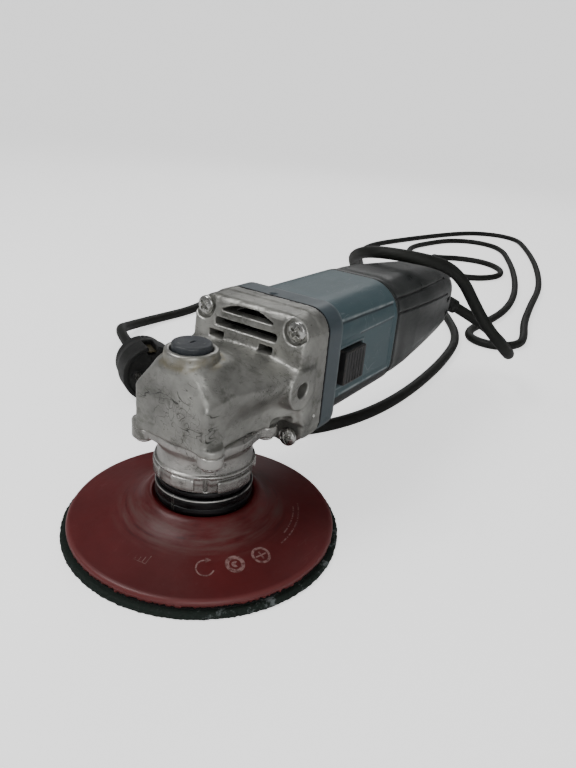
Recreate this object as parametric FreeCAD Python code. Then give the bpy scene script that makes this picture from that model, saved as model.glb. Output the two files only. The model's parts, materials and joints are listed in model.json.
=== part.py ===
import FreeCAD, Part
import math
import os

# Right-angle rotary sander-polisher with a 125 mm backing pad, mains cord and plug.
# Millimetres. Origin: centre of the abrasive face, on the spindle axis.
# +Z runs up the spindle, +X towards the cord end of the machine, +Y to its right-hand side.

Vec = FreeCAD.Vector
X, Y, Z = Vec(1, 0, 0), Vec(0, 1, 0), Vec(0, 0, 1)

# ---- driving dimensions -------------------------------------------------------------------
AXIS_Z = 68.2                 # height of the motor axis above the abrasive face
DISC_R, DISC_T = 62.5, 2.6    # 125 mm abrasive disc
HOOK_R, HOOK_T = 59.3, 0.4    # hook sheet between disc and pad
PAD_R, PAD_TOP = 59.8, 17.9   # rubber backing pad, and the height of its hub
COLLAR_R, COLLAR_TOP = 21.7, 25.6
FLANGE_R, FLANGE_TOP = 20.5, 28.4
THREAD_R, THREAD_BOTTOM = 7.0, 8.5      # M14 spindle nose
BOX_BOTTOM, BOX_TOP = 28.8, 51.0        # bearing box, between spindle flange and gear housing
BOX_BOLT = 18.4                         # bearing-box screws stand at (+-18.4, +-18.4)
BEARING_R, BEARING_BORE = 16.0, 7.5     # 32 x 15 x 9 deep-groove bearing
BEARING_Z0, BEARING_Z1 = 36.5, 45.5
CHAMBER_R, CHAMBER_TOP = 17.0, 67.5     # gear chamber
MODULE, GEAR_TEETH, PINION_TEETH = 0.85, 37, 10
FACE_WIDTH = 4.4                        # length of the bevel teeth
LOCK_X, LOCK_R, LOCK_TOP = -10.6, 8.2, 91.0
LOCK_PIN_X, LOCK_PIN_R = -9.2, 1.6
LOCK_BORE_FLOOR = 79.5
LOCK_RECESS_TOP = 88.4                  # the return spring sits in a recess under the button
HANDLE_X, HANDLE_R, HANDLE_DEPTH = 25.6, 3.35, 10.5    # M8 side-handle holes
HOUSING_SIDE = 31.0                     # half width of both square flanges
HOUSING_HALF_Z = 31.7                   # half height of both square flanges
JOINT_X = 43.7                          # parting plane, gear housing to motor housing
SCREW_Y, SCREW_DZ = 25.0, 24.9          # gear-housing screws about the motor axis
FLANGE_X = 24.6               # front wall of the gear-housing flange
HEAD_X = 28.0                           # plane under the gear-housing screw heads
FAN_CHAMBER_R = 27.5
BARREL_X0, SEAM_X, REAR_X = 57.0, 120.0, 228.0
WALL = 2.2
PANEL_Y = 28.6                          # flat side panels of the motor housing
SWITCH_X0, SWITCH_X1 = 62.5, 82.0       # switch knob when off
SWITCH_Z0, SWITCH_Z1 = 58.5, 76.0
SWITCH_WINDOW_X0 = 57.8                # the knob slides 4.5 mm forward to start the motor
CORD_D = 7.5
CORD_LAY = 3.8                          # height of the cord's centre line where it lies down

# guard on the machine: it leaves the rear face square and droops to its tip
GUARD_ROOT = Vec(REAR_X, 0, 64)
GUARD_TIP = Vec(257, -14, 56)
GUARD_R0, GUARD_R1 = 7.4, 4.9

# plug: the face looks along PLUG_DIR, and the plug lies on its rim
PLUG_R, PLUG_BACK_R, PLUG_DEPTH = 18.5, 17.0, 31.0
PLUG_NECK = 16.0
PLUG_DIR = Vec(-0.4617, -0.8870, 0)
PLUG_FACE = Vec(75.4, 108.8, PLUG_R)
PIN_R, PIN_LEN, PIN_PITCH = 2.4, 19.0, 19.0

# route of the cord from the guard's tip to the plug's neck, turn by turn
CORD_ROUTE = [
    # out of the guard, down into a hanging loop and up over the rear cover
    (257, -14, 56), (268.6, -30.2, 46.7), (266, -46, 38), (252, -58, 34), (236, -62, 38),
    (222, -58, 49), (214, -48, 62), (209, -40, 75), (199, -34, 90), (182, -26, 104),
    (161, -9, 111), (162, 18, 110), (186, 40, 98), (232, 60, 78), (284, 80, 52),
    (335, 106, 22),
    # outer loop, laid clockwise behind the machine
    (388, 134, CORD_LAY), (450, 160, CORD_LAY), (520, 198, CORD_LAY), (592, 242, CORD_LAY),
    (668, 266, CORD_LAY), (765, 252, CORD_LAY), (858, 234, CORD_LAY), (922, 216, CORD_LAY),
    (956, 196, CORD_LAY), (972, 164, CORD_LAY), (956, 130, CORD_LAY), (905, 104, CORD_LAY),
    (803, 62, CORD_LAY), (705, 29, CORD_LAY), (612, 4, CORD_LAY), (520, -10, CORD_LAY),
    (448, -23, CORD_LAY), (406, -35, CORD_LAY),
    # tight fold, and back along the inner loop
    (376, -40, CORD_LAY), (353, -26, CORD_LAY), (355, -1, CORD_LAY), (381, 10, CORD_LAY),
    (425, 5, CORD_LAY), (480, 5, CORD_LAY), (545, 15, CORD_LAY), (620, 35, CORD_LAY),
    (700, 62, CORD_LAY), (770, 90, CORD_LAY), (824, 114, CORD_LAY), (856, 142, CORD_LAY),
    (858, 177, CORD_LAY), (828, 204, CORD_LAY), (778, 214, CORD_LAY), (714, 220, CORD_LAY),
    (658, 198, CORD_LAY), (612, 158, CORD_LAY), (586, 116, CORD_LAY),
    # small ring, which climbs over its own start
    (596, 78, CORD_LAY), (638, 60, CORD_LAY), (682, 72, CORD_LAY), (710, 104, CORD_LAY),
    (702, 140, CORD_LAY), (666, 157, 6), (622, 148, 15.5), (570, 128, 15.5),
    (515, 104, CORD_LAY),
    # forward under the motor housing, round behind the gear head
    (462, 80, CORD_LAY), (408, 42, CORD_LAY), (350, 8, CORD_LAY), (282, -5, CORD_LAY),
    (212, -10, CORD_LAY), (162, -8, CORD_LAY), (122, 2, CORD_LAY), (92, 20, CORD_LAY),
    (90, 56, CORD_LAY), (122, 86, CORD_LAY), (176, 108, CORD_LAY), (232, 122, CORD_LAY),
    (282, 138, CORD_LAY), (316, 160, CORD_LAY), (326, 194, CORD_LAY), (304, 222, CORD_LAY),
    (266, 225, CORD_LAY), (228, 216, CORD_LAY), (186, 219, CORD_LAY),
    # up into the plug
    (150, 213, 7), (115.9, 186.6, 18.5), (97.1, 150.5, 18.5)]


# ---- helpers --------------------------------------------------------------------------------
def save(shape, node):
    shape.removeSplitter().exportStep("parts/" + node + ".step")


def cyl(radius, start, end):
    start, end = Vec(*start), Vec(*end)
    return Part.makeCylinder(radius, (end - start).Length, start, end - start)


def tube(outer, inner, start, end):
    return cyl(outer, start, end).cut(cyl(inner, start, end))


def box(x0, x1, y0, y1, z0, z1):
    return Part.makeBox(x1 - x0, y1 - y0, z1 - z0, Vec(x0, y0, z0))


def polygon(points):
    return Part.Face(Part.makePolygon([Vec(*p) for p in points + points[:1]]))


def turned(profile, axis, centre=Vec(0, 0, 0)):
    """Solid of revolution from (radius, height along the axis) points."""
    side = X if axis is Z else Z
    face = polygon([tuple(centre + side * r + axis * h) for r, h in profile])
    return face.revolve(centre, axis, 360)


def fused(shapes):
    return shapes[0].multiFuse(shapes[1:]) if len(shapes) > 1 else shapes[0]


def group(shapes):
    return Part.makeCompound(shapes)


def rounded_wire(x, half_y, half_z, radius, mid_z=AXIS_Z):
    """Rounded rectangle square to the motor axis."""
    y, z, k = half_y - radius, half_z - radius, radius * math.sqrt(0.5)
    corners = [(y, z), (-y, z), (-y, -z), (y, -z)]
    edges = []
    for i, (cy, cz) in enumerate(corners):
        a = math.radians(90 * i)
        turn = lambda p, a=a: Vec(x, cy + p[0] * math.cos(a) - p[1] * math.sin(a),
                                  mid_z + cz + p[0] * math.sin(a) + p[1] * math.cos(a))
        first, mid, last = turn((radius, 0)), turn((k, k)), turn((0, radius))
        if edges:
            edges.append(Part.LineSegment(edges[-1].lastVertex().Point, first).toShape())
        edges.append(Part.Arc(first, mid, last).toShape())
    edges.append(Part.LineSegment(edges[-1].lastVertex().Point,
                                  edges[0].firstVertex().Point).toShape())
    return Part.Wire(edges)


def barrel(stations, inset=0.0):
    """Ruled shell body through (x, half_y, half_z, corner radius) stations."""
    wires = [rounded_wire(x, y - inset, z - inset, r - inset * 0.6) for x, y, z, r in stations]
    return Part.makeLoft(wires, True, True)


def screw(head_r, head_h, shank_r, length, under_head, direction):
    """Pan-head cross-recess screw; direction points from the head into the work."""
    at, way = Vec(*under_head), Vec(*direction)
    head = Part.makeCylinder(head_r, head_h, at - way * head_h, way)
    rim = [e for e in head.Edges if abs((e.CenterOfMass - (at - way * head_h)).Length) < 0.01]
    head = head.makeFillet(head_h * 0.45, rim)
    shank = Part.makeCylinder(shank_r, length, at, way)
    side = way.cross(Y if abs(way.dot(Y)) < 0.5 else Z)
    other = way.cross(side)
    slots = []
    for long_way, thin_way in ((side, other), (other, side)):
        corner = at - way * head_h - long_way * head_r * 0.55 - thin_way * head_r * 0.13
        face = Part.makePolygon([corner, corner + long_way * head_r * 1.1,
                                 corner + long_way * head_r * 1.1 + thin_way * head_r * 0.26,
                                 corner + thin_way * head_r * 0.26, corner])
        slots.append(Part.Face(face).extrude(way * head_h * 0.6))
    return head.fuse(shank).cut(fused(slots))


# ---- gear housing: the cast head -----------------------------------------------------------
def head_section(x, bottom_half, shoulder_half, z_bottom, z_shoulder, z_crown):
    """Flat bottom, leaning sides, crowned top."""
    low_l, low_r = Vec(x, -bottom_half, z_bottom), Vec(x, bottom_half, z_bottom)
    top_l, top_r = Vec(x, -shoulder_half, z_shoulder), Vec(x, shoulder_half, z_shoulder)
    edges = [Part.LineSegment(low_l, low_r).toShape(), Part.LineSegment(low_r, top_r).toShape(),
             Part.Arc(top_r, Vec(x, 0, z_crown), top_l).toShape(),
             Part.LineSegment(top_l, low_l).toShape()]
    return Part.Wire(edges)


def gear_housing():
    sections = [head_section(-23.5, 16.5, 16.5, 51, 67, 70.5),
                head_section(-20.8, 19.3, 19.5, 51, 71, 79.5),
                head_section(-16.0, 19.5, 20.5, 51, 73, 83.2),
                head_section(-9.6, 19.5, 21.8, 51, 74.8, 83.5),
                head_section(8.8, 20.0, 27.6, 51, 74.5, 84.3),
                head_section(20.0, 22.0, 29.5, 51, 75, 84.3),
                head_section(25.5, 26.0, 30.3, 51, 76, 84)]
    head = Part.makeLoft(sections, True, True)
    flange = Part.Face(rounded_wire(FLANGE_X, HOUSING_SIDE, HOUSING_HALF_Z, 11)).extrude(
        X * (JOINT_X - FLANGE_X))
    lock_boss = cyl(11.2, (LOCK_X, 0, 74), (LOCK_X, 0, 88.4))
    bolt_bosses = [cyl(5.3, (sx * BOX_BOLT, sy * BOX_BOLT, BOX_TOP),
                       (sx * BOX_BOLT, sy * BOX_BOLT, 57)) for sx in (-1, 1) for sy in (-1, 1)]
    handle_bosses = [cyl(9.0, (HANDLE_X, s * 21, AXIS_Z), (HANDLE_X, s * HOUSING_SIDE, AXIS_Z))
                     for s in (-1, 1)]
    body = fused([head, flange, lock_boss] + bolt_bosses + handle_bosses)
    hollow = [cyl(CHAMBER_R, (0, 0, 50), (0, 0, CHAMBER_TOP)),
              cyl(6.0, (0, 0, 60), (0, 0, 78.5)),
              cyl(9.0, (9.5, 0, AXIS_Z), (23.6, 0, AXIS_Z)),
              cyl(13.0, (23.5, 0, AXIS_Z), (33.0, 0, AXIS_Z)),
              cyl(FAN_CHAMBER_R, (32.5, 0, AXIS_Z), (JOINT_X + 1, 0, AXIS_Z)),
              cyl(LOCK_R + 0.35, (LOCK_X, 0, LOCK_BORE_FLOOR), (LOCK_X, 0, 95)),
              cyl(LOCK_PIN_R + 0.08, (LOCK_PIN_X, 0, 60), (LOCK_PIN_X, 0, 85))]
    hollow += [cyl(HANDLE_R, (HANDLE_X, s * (HOUSING_SIDE + 1), AXIS_Z),
                   (HANDLE_X, s * (HOUSING_SIDE - HANDLE_DEPTH), AXIS_Z)) for s in (-1, 1)]
    hollow += [cyl(1.9, (sx * BOX_BOLT, sy * BOX_BOLT, 50), (sx * BOX_BOLT, sy * BOX_BOLT, 56))
               for sx in (-1, 1) for sy in (-1, 1)]
    for sy in (-1, 1):
        for sz in (-1, 1):
            y, z = sy * SCREW_Y, AXIS_Z + sz * SCREW_DZ
            hollow.append(cyl(5.7, (20, y, z), (HEAD_X, y, z)))
            y0, y1 = sorted((y - sy * 1.5, y + sy * 12))
            z0, z1 = sorted((z - sz * 1.5, z + sz * 12))
            hollow.append(box(20, HEAD_X, y0, y1, z0, z1))
            hollow.append(cyl(2.0, (20, y, z), (JOINT_X + 1, y, z)))
    # exhaust slots in the flange's front wall, above the gear chamber
    hollow += [box(18, 34, -13, 15, 93, 95.6), box(18, 34, -16, 18, 86.3, 89.5),
               box(18, 27.5, 12.6, 20.5, 79.6, 82), box(18, 27.5, -14.5, -6.5, 79.6, 82)]
    return body.cut(fused(hollow))


def bearing_box():
    neck = cyl(21.3, (0, 0, 36), (0, 0, 46))
    collar = cyl(21.0, (0, 0, BOX_BOTTOM), (0, 0, 36))
    plate = box(-21.6, 21.6, -21.6, 21.6, 46, BOX_TOP)
    plate = plate.makeFillet(4.5, [e for e in plate.Edges if abs(e.tangentAt(0).dot(Z)) > 0.9])
    bosses = [cyl(5.3, (sx * BOX_BOLT, sy * BOX_BOLT, 46), (sx * BOX_BOLT, sy * BOX_BOLT, BOX_TOP))
              for sx in (-1, 1) for sy in (-1, 1)]
    # bayonet lugs that a wheel guard would hook behind
    lugs = []
    for start, end in ((181.5, 209), (235, 282), (122, 162), (310, 350), (35, 85)):
        ring = Part.makeCylinder(22.6, 5.2, Vec(0, 0, 30), Z, end - start)
        ring.rotate(Vec(0, 0, 0), Z, start)
        lugs.append(ring)
    body = fused([neck, collar, plate] + bosses + lugs)
    hollow = [cyl(12.5, (0, 0, 20), (0, 0, 60)), cyl(15.6, (0, 0, 34.8), (0, 0, 40)),
              cyl(BEARING_R, (0, 0, 36.4), (0, 0, 50)), cyl(17.6, (0, 0, 46), (0, 0, 60))]
    hollow += [cyl(2.0, (sx * BOX_BOLT, sy * BOX_BOLT, 40), (sx * BOX_BOLT, sy * BOX_BOLT, 60))
               for sx in (-1, 1) for sy in (-1, 1)]
    return body.cut(fused(hollow))


def head_fasteners():
    box_screws = [screw(3.75, 2.6, 1.9, 9.5, (sx * BOX_BOLT, sy * BOX_BOLT, 46), (0, 0, 1))
                  for sx in (-1, 1) for sy in (-1, 1)]
    save(group(box_screws), "bearing_box_screws")
    flange_screws = [screw(4.3, 3.0, 1.95, 24, (HEAD_X, sy * SCREW_Y, AXIS_Z + sz * SCREW_DZ),
                           (1, 0, 0)) for sy in (-1, 1) for sz in (-1, 1)]
    save(group(flange_screws), "gear_housing_screws")


# ---- bearings --------------------------------------------------------------------------------
def bearing(node, centre, axis, outer, bore, width, balls):
    """Deep-groove ball bearing: fixed outer race, and inner race with its balls."""
    centre = Vec(*centre)
    mean, ball = (outer + bore) / 2, (outer - bore) * 0.26
    groove = Part.makeTorus(mean, ball + 0.4, centre, axis)
    start, end = centre - axis * width / 2, centre + axis * width / 2
    race = tube(outer, mean + ball * 0.55, start, end).cut(groove)
    save(race, node + "_outer_race")
    inner = tube(mean - ball * 0.55, bore, start, end)
    side = X if axis is Z else Z
    spheres = []
    for i in range(balls):
        spin = FreeCAD.Rotation(axis, 360.0 * i / balls)
        spheres.append(Part.makeSphere(ball, centre + spin.multVec(side * mean)))
    inner = inner.cut(Part.makeTorus(mean, ball + 0.01, centre, axis))
    save(group([inner] + spheres), node + "_inner_race")


def bearings():
    middle = (BEARING_Z0 + BEARING_Z1) / 2
    bearing("spindle_bearing", (0, 0, middle), Z, BEARING_R, BEARING_BORE,
            BEARING_Z1 - BEARING_Z0, 9)
    bearing("front_armature_bearing", (27.6, 0, AXIS_Z), X, 13.0, 4.5, 8.0, 7)
    bearing("rear_armature_bearing", (143.5, 0, AXIS_Z), X, 11.0, 4.0, 7.0, 7)
    save(tube(6.0, 4.06, (0, 0, 69.5), (0, 0, 78.0)), "spindle_needle_bearing")
    save(tube(17.4, 13.0, (0, 0, 46.0), (0, 0, 47.6)).cut(cyl(13.0, (0, 0, 45), (0, 0, 49))),
         "bearing_retainer")
    save(tube(15.5, 10.4, (0, 0, 34.9), (0, 0, 36.3)), "dust_seal")


# ---- bevel gear pair ------------------------------------------------------------------------
PITCH_R = MODULE * GEAR_TEETH / 2             # 15.7
PINION_PITCH_R = MODULE * PINION_TEETH / 2    # 4.25
CONE = math.hypot(PITCH_R, PINION_PITCH_R)    # distance from the common apex
APEX = Vec(0, 0, AXIS_Z)


def bevel_tooth(along, up, tip_half, root_half, addendum, dedendum, base_r, axial):
    """Straight tooth that shrinks towards the apex. up points from root to tip."""
    across = along.cross(up)
    wires = []
    for share in (1.0, 1.0 - FACE_WIDTH / CONE):
        origin = APEX + (along * axial + up * 0) * share
        points = [origin + (up * h + across * w) * share for h, w in
                  ((-dedendum - 0.15, -root_half), (addendum, -tip_half), (addendum, tip_half),
                   (-dedendum - 0.15, root_half))]
        wires.append(Part.makePolygon(points + points[:1]))
    return Part.makeLoft(wires, True, True)


def bevel_gears():
    addendum, dedendum = 0.6, 0.85
    slope = PITCH_R / CONE, PINION_PITCH_R / CONE
    # big gear: pitch cone faces up, teeth stand on it
    down = AXIS_Z - PINION_PITCH_R
    inner = 1.0 - FACE_WIDTH / CONE
    outer_z = down - dedendum
    inner_z = AXIS_Z - (PINION_PITCH_R + dedendum) * inner
    profile = [(5.0, 51.6), (8.2, 51.6), (8.2, 57.2), (PITCH_R + 0.2, 58.4),
               (PITCH_R + 0.2, outer_z), (PITCH_R * inner, inner_z), (11.35, 63.2), (5.0, 63.2)]
    blank = turned(profile, Z)
    teeth = []
    for i in range(GEAR_TEETH):
        a = 2 * math.pi * i / GEAR_TEETH
        out = Vec(math.cos(a), math.sin(a), 0)
        along = out * slope[0] - Z * slope[1]
        up = out * slope[1] + Z * slope[0]
        teeth.append(bevel_tooth(along, up, 0.26, 0.72, addendum, dedendum, PITCH_R, CONE))
    holes = []
    for i in range(8):
        a = math.radians(45 * i)
        x, y = abs(LOCK_PIN_X) * math.cos(a), abs(LOCK_PIN_X) * math.sin(a)
        holes.append(cyl(LOCK_PIN_R + 0.5, (x, y, 59.5), (x, y, 70)))
    key_slot = box(3.4, 6.2, -1.5, 1.5, 50, 70)
    gear = blank.fuse(teeth).cut(fused(holes + [key_slot]))
    save(gear, "bevel_gear")
    save(box(3.45, 6.15, -1.45, 1.45, 52.0, 60.0), "spindle_key")
    # pinion on the motor shaft, one space facing down into the gear
    profile = [(0.0, PITCH_R * inner), (PINION_PITCH_R * inner - dedendum * inner, PITCH_R * inner),
               (PINION_PITCH_R - dedendum, 16.6), (5.6, 17.4), (5.6, 22.8), (3.0, 22.8),
               (3.0, 17.5), (0.0, 17.5)]
    blank = turned(profile, X, APEX)
    teeth = []
    for i in range(PINION_TEETH):
        a = math.radians(-90 + 360.0 * (i + 0.5) / PINION_TEETH)
        out = Y * math.cos(a) + Z * math.sin(a)
        along = out * slope[1] + X * slope[0]
        up = out * slope[0] - X * slope[1]
        teeth.append(bevel_tooth(along, up, 0.24, 0.62, addendum, dedendum, PINION_PITCH_R, CONE))
    save(blank.fuse(teeth), "bevel_pinion")


# ---- spindle, pad and disc ---------------------------------------------------------------------
def spindle():
    profile = [(0, THREAD_BOTTOM), (6.2, THREAD_BOTTOM), (THREAD_R, 9.4), (THREAD_R, FLANGE_TOP),
               (10.0, FLANGE_TOP), (10.0, BEARING_Z0), (BEARING_BORE, BEARING_Z0),
               (BEARING_BORE, 50.5), (7.0, 51.6), (5.0, 51.6), (5.0, 66.0), (4.0, 66.6),
               (4.0, 77.2), (3.4, 77.8), (0, 77.8)]
    shaft = turned(profile, Z).cut(box(3.45, 6.15, -1.45, 1.45, 52.0, 60.0))
    save(shaft.cut(tube(6.0, 4.55, (0, 0, 63.4), (0, 0, 64.4))), "spindle_shaft")
    clip = tube(6.4, 4.55, (0, 0, 63.4), (0, 0, 64.4)).cut(box(-8, 0, -1.2, 1.2, 63, 65))
    save(clip, "gear_circlip")
    flange = turned([(THREAD_R, COLLAR_TOP), (FLANGE_R - 0.6, COLLAR_TOP), (FLANGE_R, 26.2),
                     (FLANGE_R, 27.9), (FLANGE_R - 0.5, FLANGE_TOP), (THREAD_R, FLANGE_TOP)], Z)
    save(flange, "spindle_flange")
    collar = turned([(THREAD_R, PAD_TOP), (COLLAR_R - 0.5, PAD_TOP), (COLLAR_R, 18.4),
                     (COLLAR_R, 25.0), (COLLAR_R - 0.7, COLLAR_TOP), (THREAD_R, COLLAR_TOP)], Z)
    split = box(-COLLAR_R - 1, -COLLAR_R + 3.2, -0.35, 0.35, 10, 30)
    split.rotate(Vec(0, 0, 0), Z, 4)
    save(collar.cut(split), "clamp_collar")


def pad():
    insert = turned([(THREAD_R, 7.9), (28.0, 5.6), (28.0, 7.6), (12.5, 9.6), (12.0, 10.2),
                     (12.0, PAD_TOP), (THREAD_R, PAD_TOP)], Z)
    save(insert, "pad_insert")
    bottom = DISC_T + HOOK_T
    outer = [(0, bottom), (58.4, bottom), (PAD_R, 3.6), (PAD_R, 6.0), (58.9, 6.7), (50, 8.3),
             (41, 10.2), (32, 12.9), (27.5, 15.4), (25.2, 18.2), (24.0, 18.9), (22.9, 18.9),
             (22.3, 18.2), (22.3, PAD_TOP), (THREAD_R, PAD_TOP), (THREAD_R, 7.9), (0, 7.9)]
    body = turned(outer, Z)
    # ring of shallow notches round the lower rim
    count = 72
    notches = []
    for i in range(count):
        notch = box(PAD_R - 1.0, PAD_R + 1, -0.7, 0.7, 2, 4.3)
        notch.rotate(Vec(0, 0, 0), Z, 360.0 * i / count)
        notches.append(notch)
    save(body.cut(insert).cut(fused(notches)), "backing_pad")
    save(cyl(HOOK_R, (0, 0, DISC_T), (0, 0, bottom)), "hook_sheet")
    disc = turned([(0, 0), (DISC_R - 0.5, 0), (DISC_R, 0.5), (DISC_R, DISC_T - 0.4),
                   (DISC_R - 0.4, DISC_T), (0, DISC_T)], Z)
    save(disc, "abrasive_disc")


# ---- spindle lock -----------------------------------------------------------------------------
def spindle_lock():
    cap = turned([(0, 84.2), (LOCK_R, 84.2), (LOCK_R, 90.2), (LOCK_R - 0.8, LOCK_TOP),
                  (0, LOCK_TOP)], Z, Vec(LOCK_X, 0, 0))
    mark = box(LOCK_X - 1.6, LOCK_X + 1.6, -0.8, 0.8, LOCK_TOP - 1.0, LOCK_TOP + 1)
    recess = cyl(4.3, (LOCK_PIN_X, 0, 84.0), (LOCK_PIN_X, 0, LOCK_RECESS_TOP))
    save(cap.cut(fused([mark, recess])), "lock_button")
    pin = cyl(LOCK_PIN_R, (LOCK_PIN_X, 0, 64.6), (LOCK_PIN_X, 0, LOCK_RECESS_TOP))
    save(pin, "lock_pin")
    turns, wire, mean = 5, 0.3, 3.4
    low = LOCK_BORE_FLOOR + wire + 0.05
    rise = LOCK_RECESS_TOP - wire - 0.35 - low
    helix = Part.makeHelix(rise / turns, rise, mean)
    helix.translate(Vec(LOCK_PIN_X, 0, low))
    ring = Part.Wire(Part.makeCircle(wire, Vec(LOCK_PIN_X + mean, 0, low), Y))
    save(Part.Wire(helix).makePipeShell([ring], True, True), "lock_spring")


# ---- motor housing and rear cover ----------------------------------------------------------
BARREL = [(BARREL_X0, PANEL_Y, 29.8, 17), (SEAM_X, PANEL_Y + 1.0, 30.3, 19)]
REAR = [(SEAM_X, PANEL_Y + 1.0, 30.3, 19), (150, 28.4, 29.0, 19), (185, 25.6, 26.0, 18),
        (214, 22.6, 23.4, 17), (224, 21.4, 22.2, 17), (REAR_X, 18.6, 19.6, 15)]


def motor_housing():
    flange = Part.Face(rounded_wire(JOINT_X, HOUSING_SIDE, HOUSING_HALF_Z, 12)).extrude(
        X * (BARREL_X0 - JOINT_X))
    body = flange.fuse(barrel(BARREL))
    inner = barrel(BARREL, WALL)
    inner = inner.cut(box(50, BARREL_X0 + 2.5, -40, 40, 20, 110))
    hollow = [inner, cyl(26.4, (JOINT_X - 1, 0, AXIS_Z), (BARREL_X0 + 3, 0, AXIS_Z)),
              box(SWITCH_WINDOW_X0, SWITCH_X1 + 0.5, -PANEL_Y - 4, -PANEL_Y + 6,
                  SWITCH_Z0 - 0.4, SWITCH_Z1 + 0.4)]
    for sy in (-1, 1):
        for sz in (-1, 1):
            y, z = sy * SCREW_Y, AXIS_Z + sz * SCREW_DZ
            hollow.append(cyl(1.95, (JOINT_X - 1, y, z), (HEAD_X + 24.0, y, z)))
    return body.cut(fused(hollow))


def rear_cover():
    outer = barrel(REAR)
    inner = barrel([s for s in REAR if s[0] < REAR_X], WALL)
    vents = []
    for side in (-1, 1):
        for z in (71.5, 62.1):
            y0, y1 = sorted((side * 16.0, side * 26.0))
            vents.append(box(211.5, 217.5, y0, y1, z - 1.4, z + 1.4))
    hole = cyl(6.1, (220, 0, GUARD_ROOT.z), (REAR_X + 1, 0, GUARD_ROOT.z))
    screw_holes = [cyl(1.7, (129, s * 9, 34), (129, s * 9, 45)) for s in (-1, 1)]
    return outer.cut(fused([inner, hole] + vents + screw_holes))


# ---- motor ------------------------------------------------------------------------------------
def stator():
    core = tube(24.8, 20.6, (66, 0, AXIS_Z), (106, 0, AXIS_Z))
    poles = tube(20.7, 16.4, (66, 0, AXIS_Z), (106, 0, AXIS_Z))
    poles = poles.common(box(60, 110, -30, 30, AXIS_Z - 9, AXIS_Z + 9))
    save(core.fuse(poles), "field_core")
    window = tube(20.4, 16.6, (60, 0, AXIS_Z), (112, 0, AXIS_Z))
    coils = [window.common(box(60, 112, -12, 12, AXIS_Z + z0, AXIS_Z + z0 + 12))
             for z0 in (10.0, -22.0)]
    save(group(coils), "field_windings")
    save(tube(26.2, 17.6, (57.6, 0, AXIS_Z), (59.4, 0, AXIS_Z)), "air_baffle")


def armature():
    steps = [(0, 17.5), (3.0, 17.5), (3.0, 23.2), (4.5, 23.2), (4.5, 33.0), (5.0, 33.0),
             (5.0, 139.6), (4.0, 139.6), (4.0, 148), (0, 148)]
    save(turned(steps, X, APEX), "armature_shaft")
    core = tube(15.6, 5.0, (68, 0, AXIS_Z), (104, 0, AXIS_Z))
    slots = []
    for i in range(12):
        slot = box(66, 106, -1.1, 1.1, AXIS_Z + 11.6, AXIS_Z + 17)
        slot.rotate(APEX, X, 30.0 * i)
        slots.append(slot)
    save(core.cut(fused(slots)), "armature_core")
    ends = [turned([(5.0, x0), (12.0, x0), (14.2, x0 + 2.5), (14.2, x0 + 5.5), (12.0, x0 + 7.8),
                    (5.0, x0 + 7.8)], X, APEX) for x0 in (60.2, 104.0)]
    save(group(ends), "armature_windings")
    commutator = tube(11.0, 5.0, (116, 0, AXIS_Z), (131, 0, AXIS_Z))
    gaps = []
    for i in range(24):
        gap = box(115, 129, -0.25, 0.25, AXIS_Z + 10.2, AXIS_Z + 12)
        gap.rotate(APEX, X, 15.0 * i)
        gaps.append(gap)
    save(commutator.cut(fused(gaps)), "commutator")
    # fan in the chamber in front of the stator
    disc = turned([(5.0, 45.0), (25.0, 51.5), (25.0, 53.0), (8.0, 53.0), (8.0, 56.0),
                   (5.0, 56.0)], X, APEX)
    blades = []
    for i in range(11):
        blade = box(42.5, 51.8, -0.8, 0.8, AXIS_Z + 12, AXIS_Z + 24.6)
        blade.rotate(Vec(46, 0, AXIS_Z + 12), X, 28)
        blade.rotate(APEX, X, 360.0 * i / 11)
        blades.append(blade)
    save(disc.fuse(blades), "cooling_fan")


def brush_gear():
    plate = cyl(27.0, (133, 0, AXIS_Z), (136.5, 0, AXIS_Z))
    plate = plate.common(box(130, 140, -26.4, 26.4, AXIS_Z - 26.6, AXIS_Z + 26.6))
    seat = tube(13.6, 11.0, (136.5, 0, AXIS_Z), (147.4, 0, AXIS_Z))
    bridge = plate.cut(cyl(8.0, (130, 0, AXIS_Z), (140, 0, AXIS_Z))).fuse(seat)
    windows = [box(130, 140, -25, -11.5, AXIS_Z - 6, AXIS_Z + 6),
               box(130, 140, 11.5, 25, AXIS_Z - 6, AXIS_Z + 6)]
    save(bridge.cut(fused(windows)), "brush_bridge")
    holders, carbons, springs = [], [], []
    for side in (1, -1):
        def block(half_y, x0, x1, r0, r1):
            z0, z1 = sorted((AXIS_Z + side * r0, AXIS_Z + side * r1))
            return box(x0, x1, -half_y, half_y, z0, z1)
        shell = block(4.4, 117.4, 133.0, 12.4, 26.0)
        holders.append(shell.cut(block(3.2, 119.0, 129.0, 12.0, 25.0)))
        carbons.append(block(3.1, 119.1, 128.9, 11.4, 21.0))
        z0, z1 = AXIS_Z + side * 21.0, AXIS_Z + side * 25.0
        springs.append(cyl(2.4, (124, 0, z0), (124, 0, z1)))
    save(group(holders), "brush_holders")
    save(group(carbons), "carbon_brushes")
    save(group(springs), "brush_springs")


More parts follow.
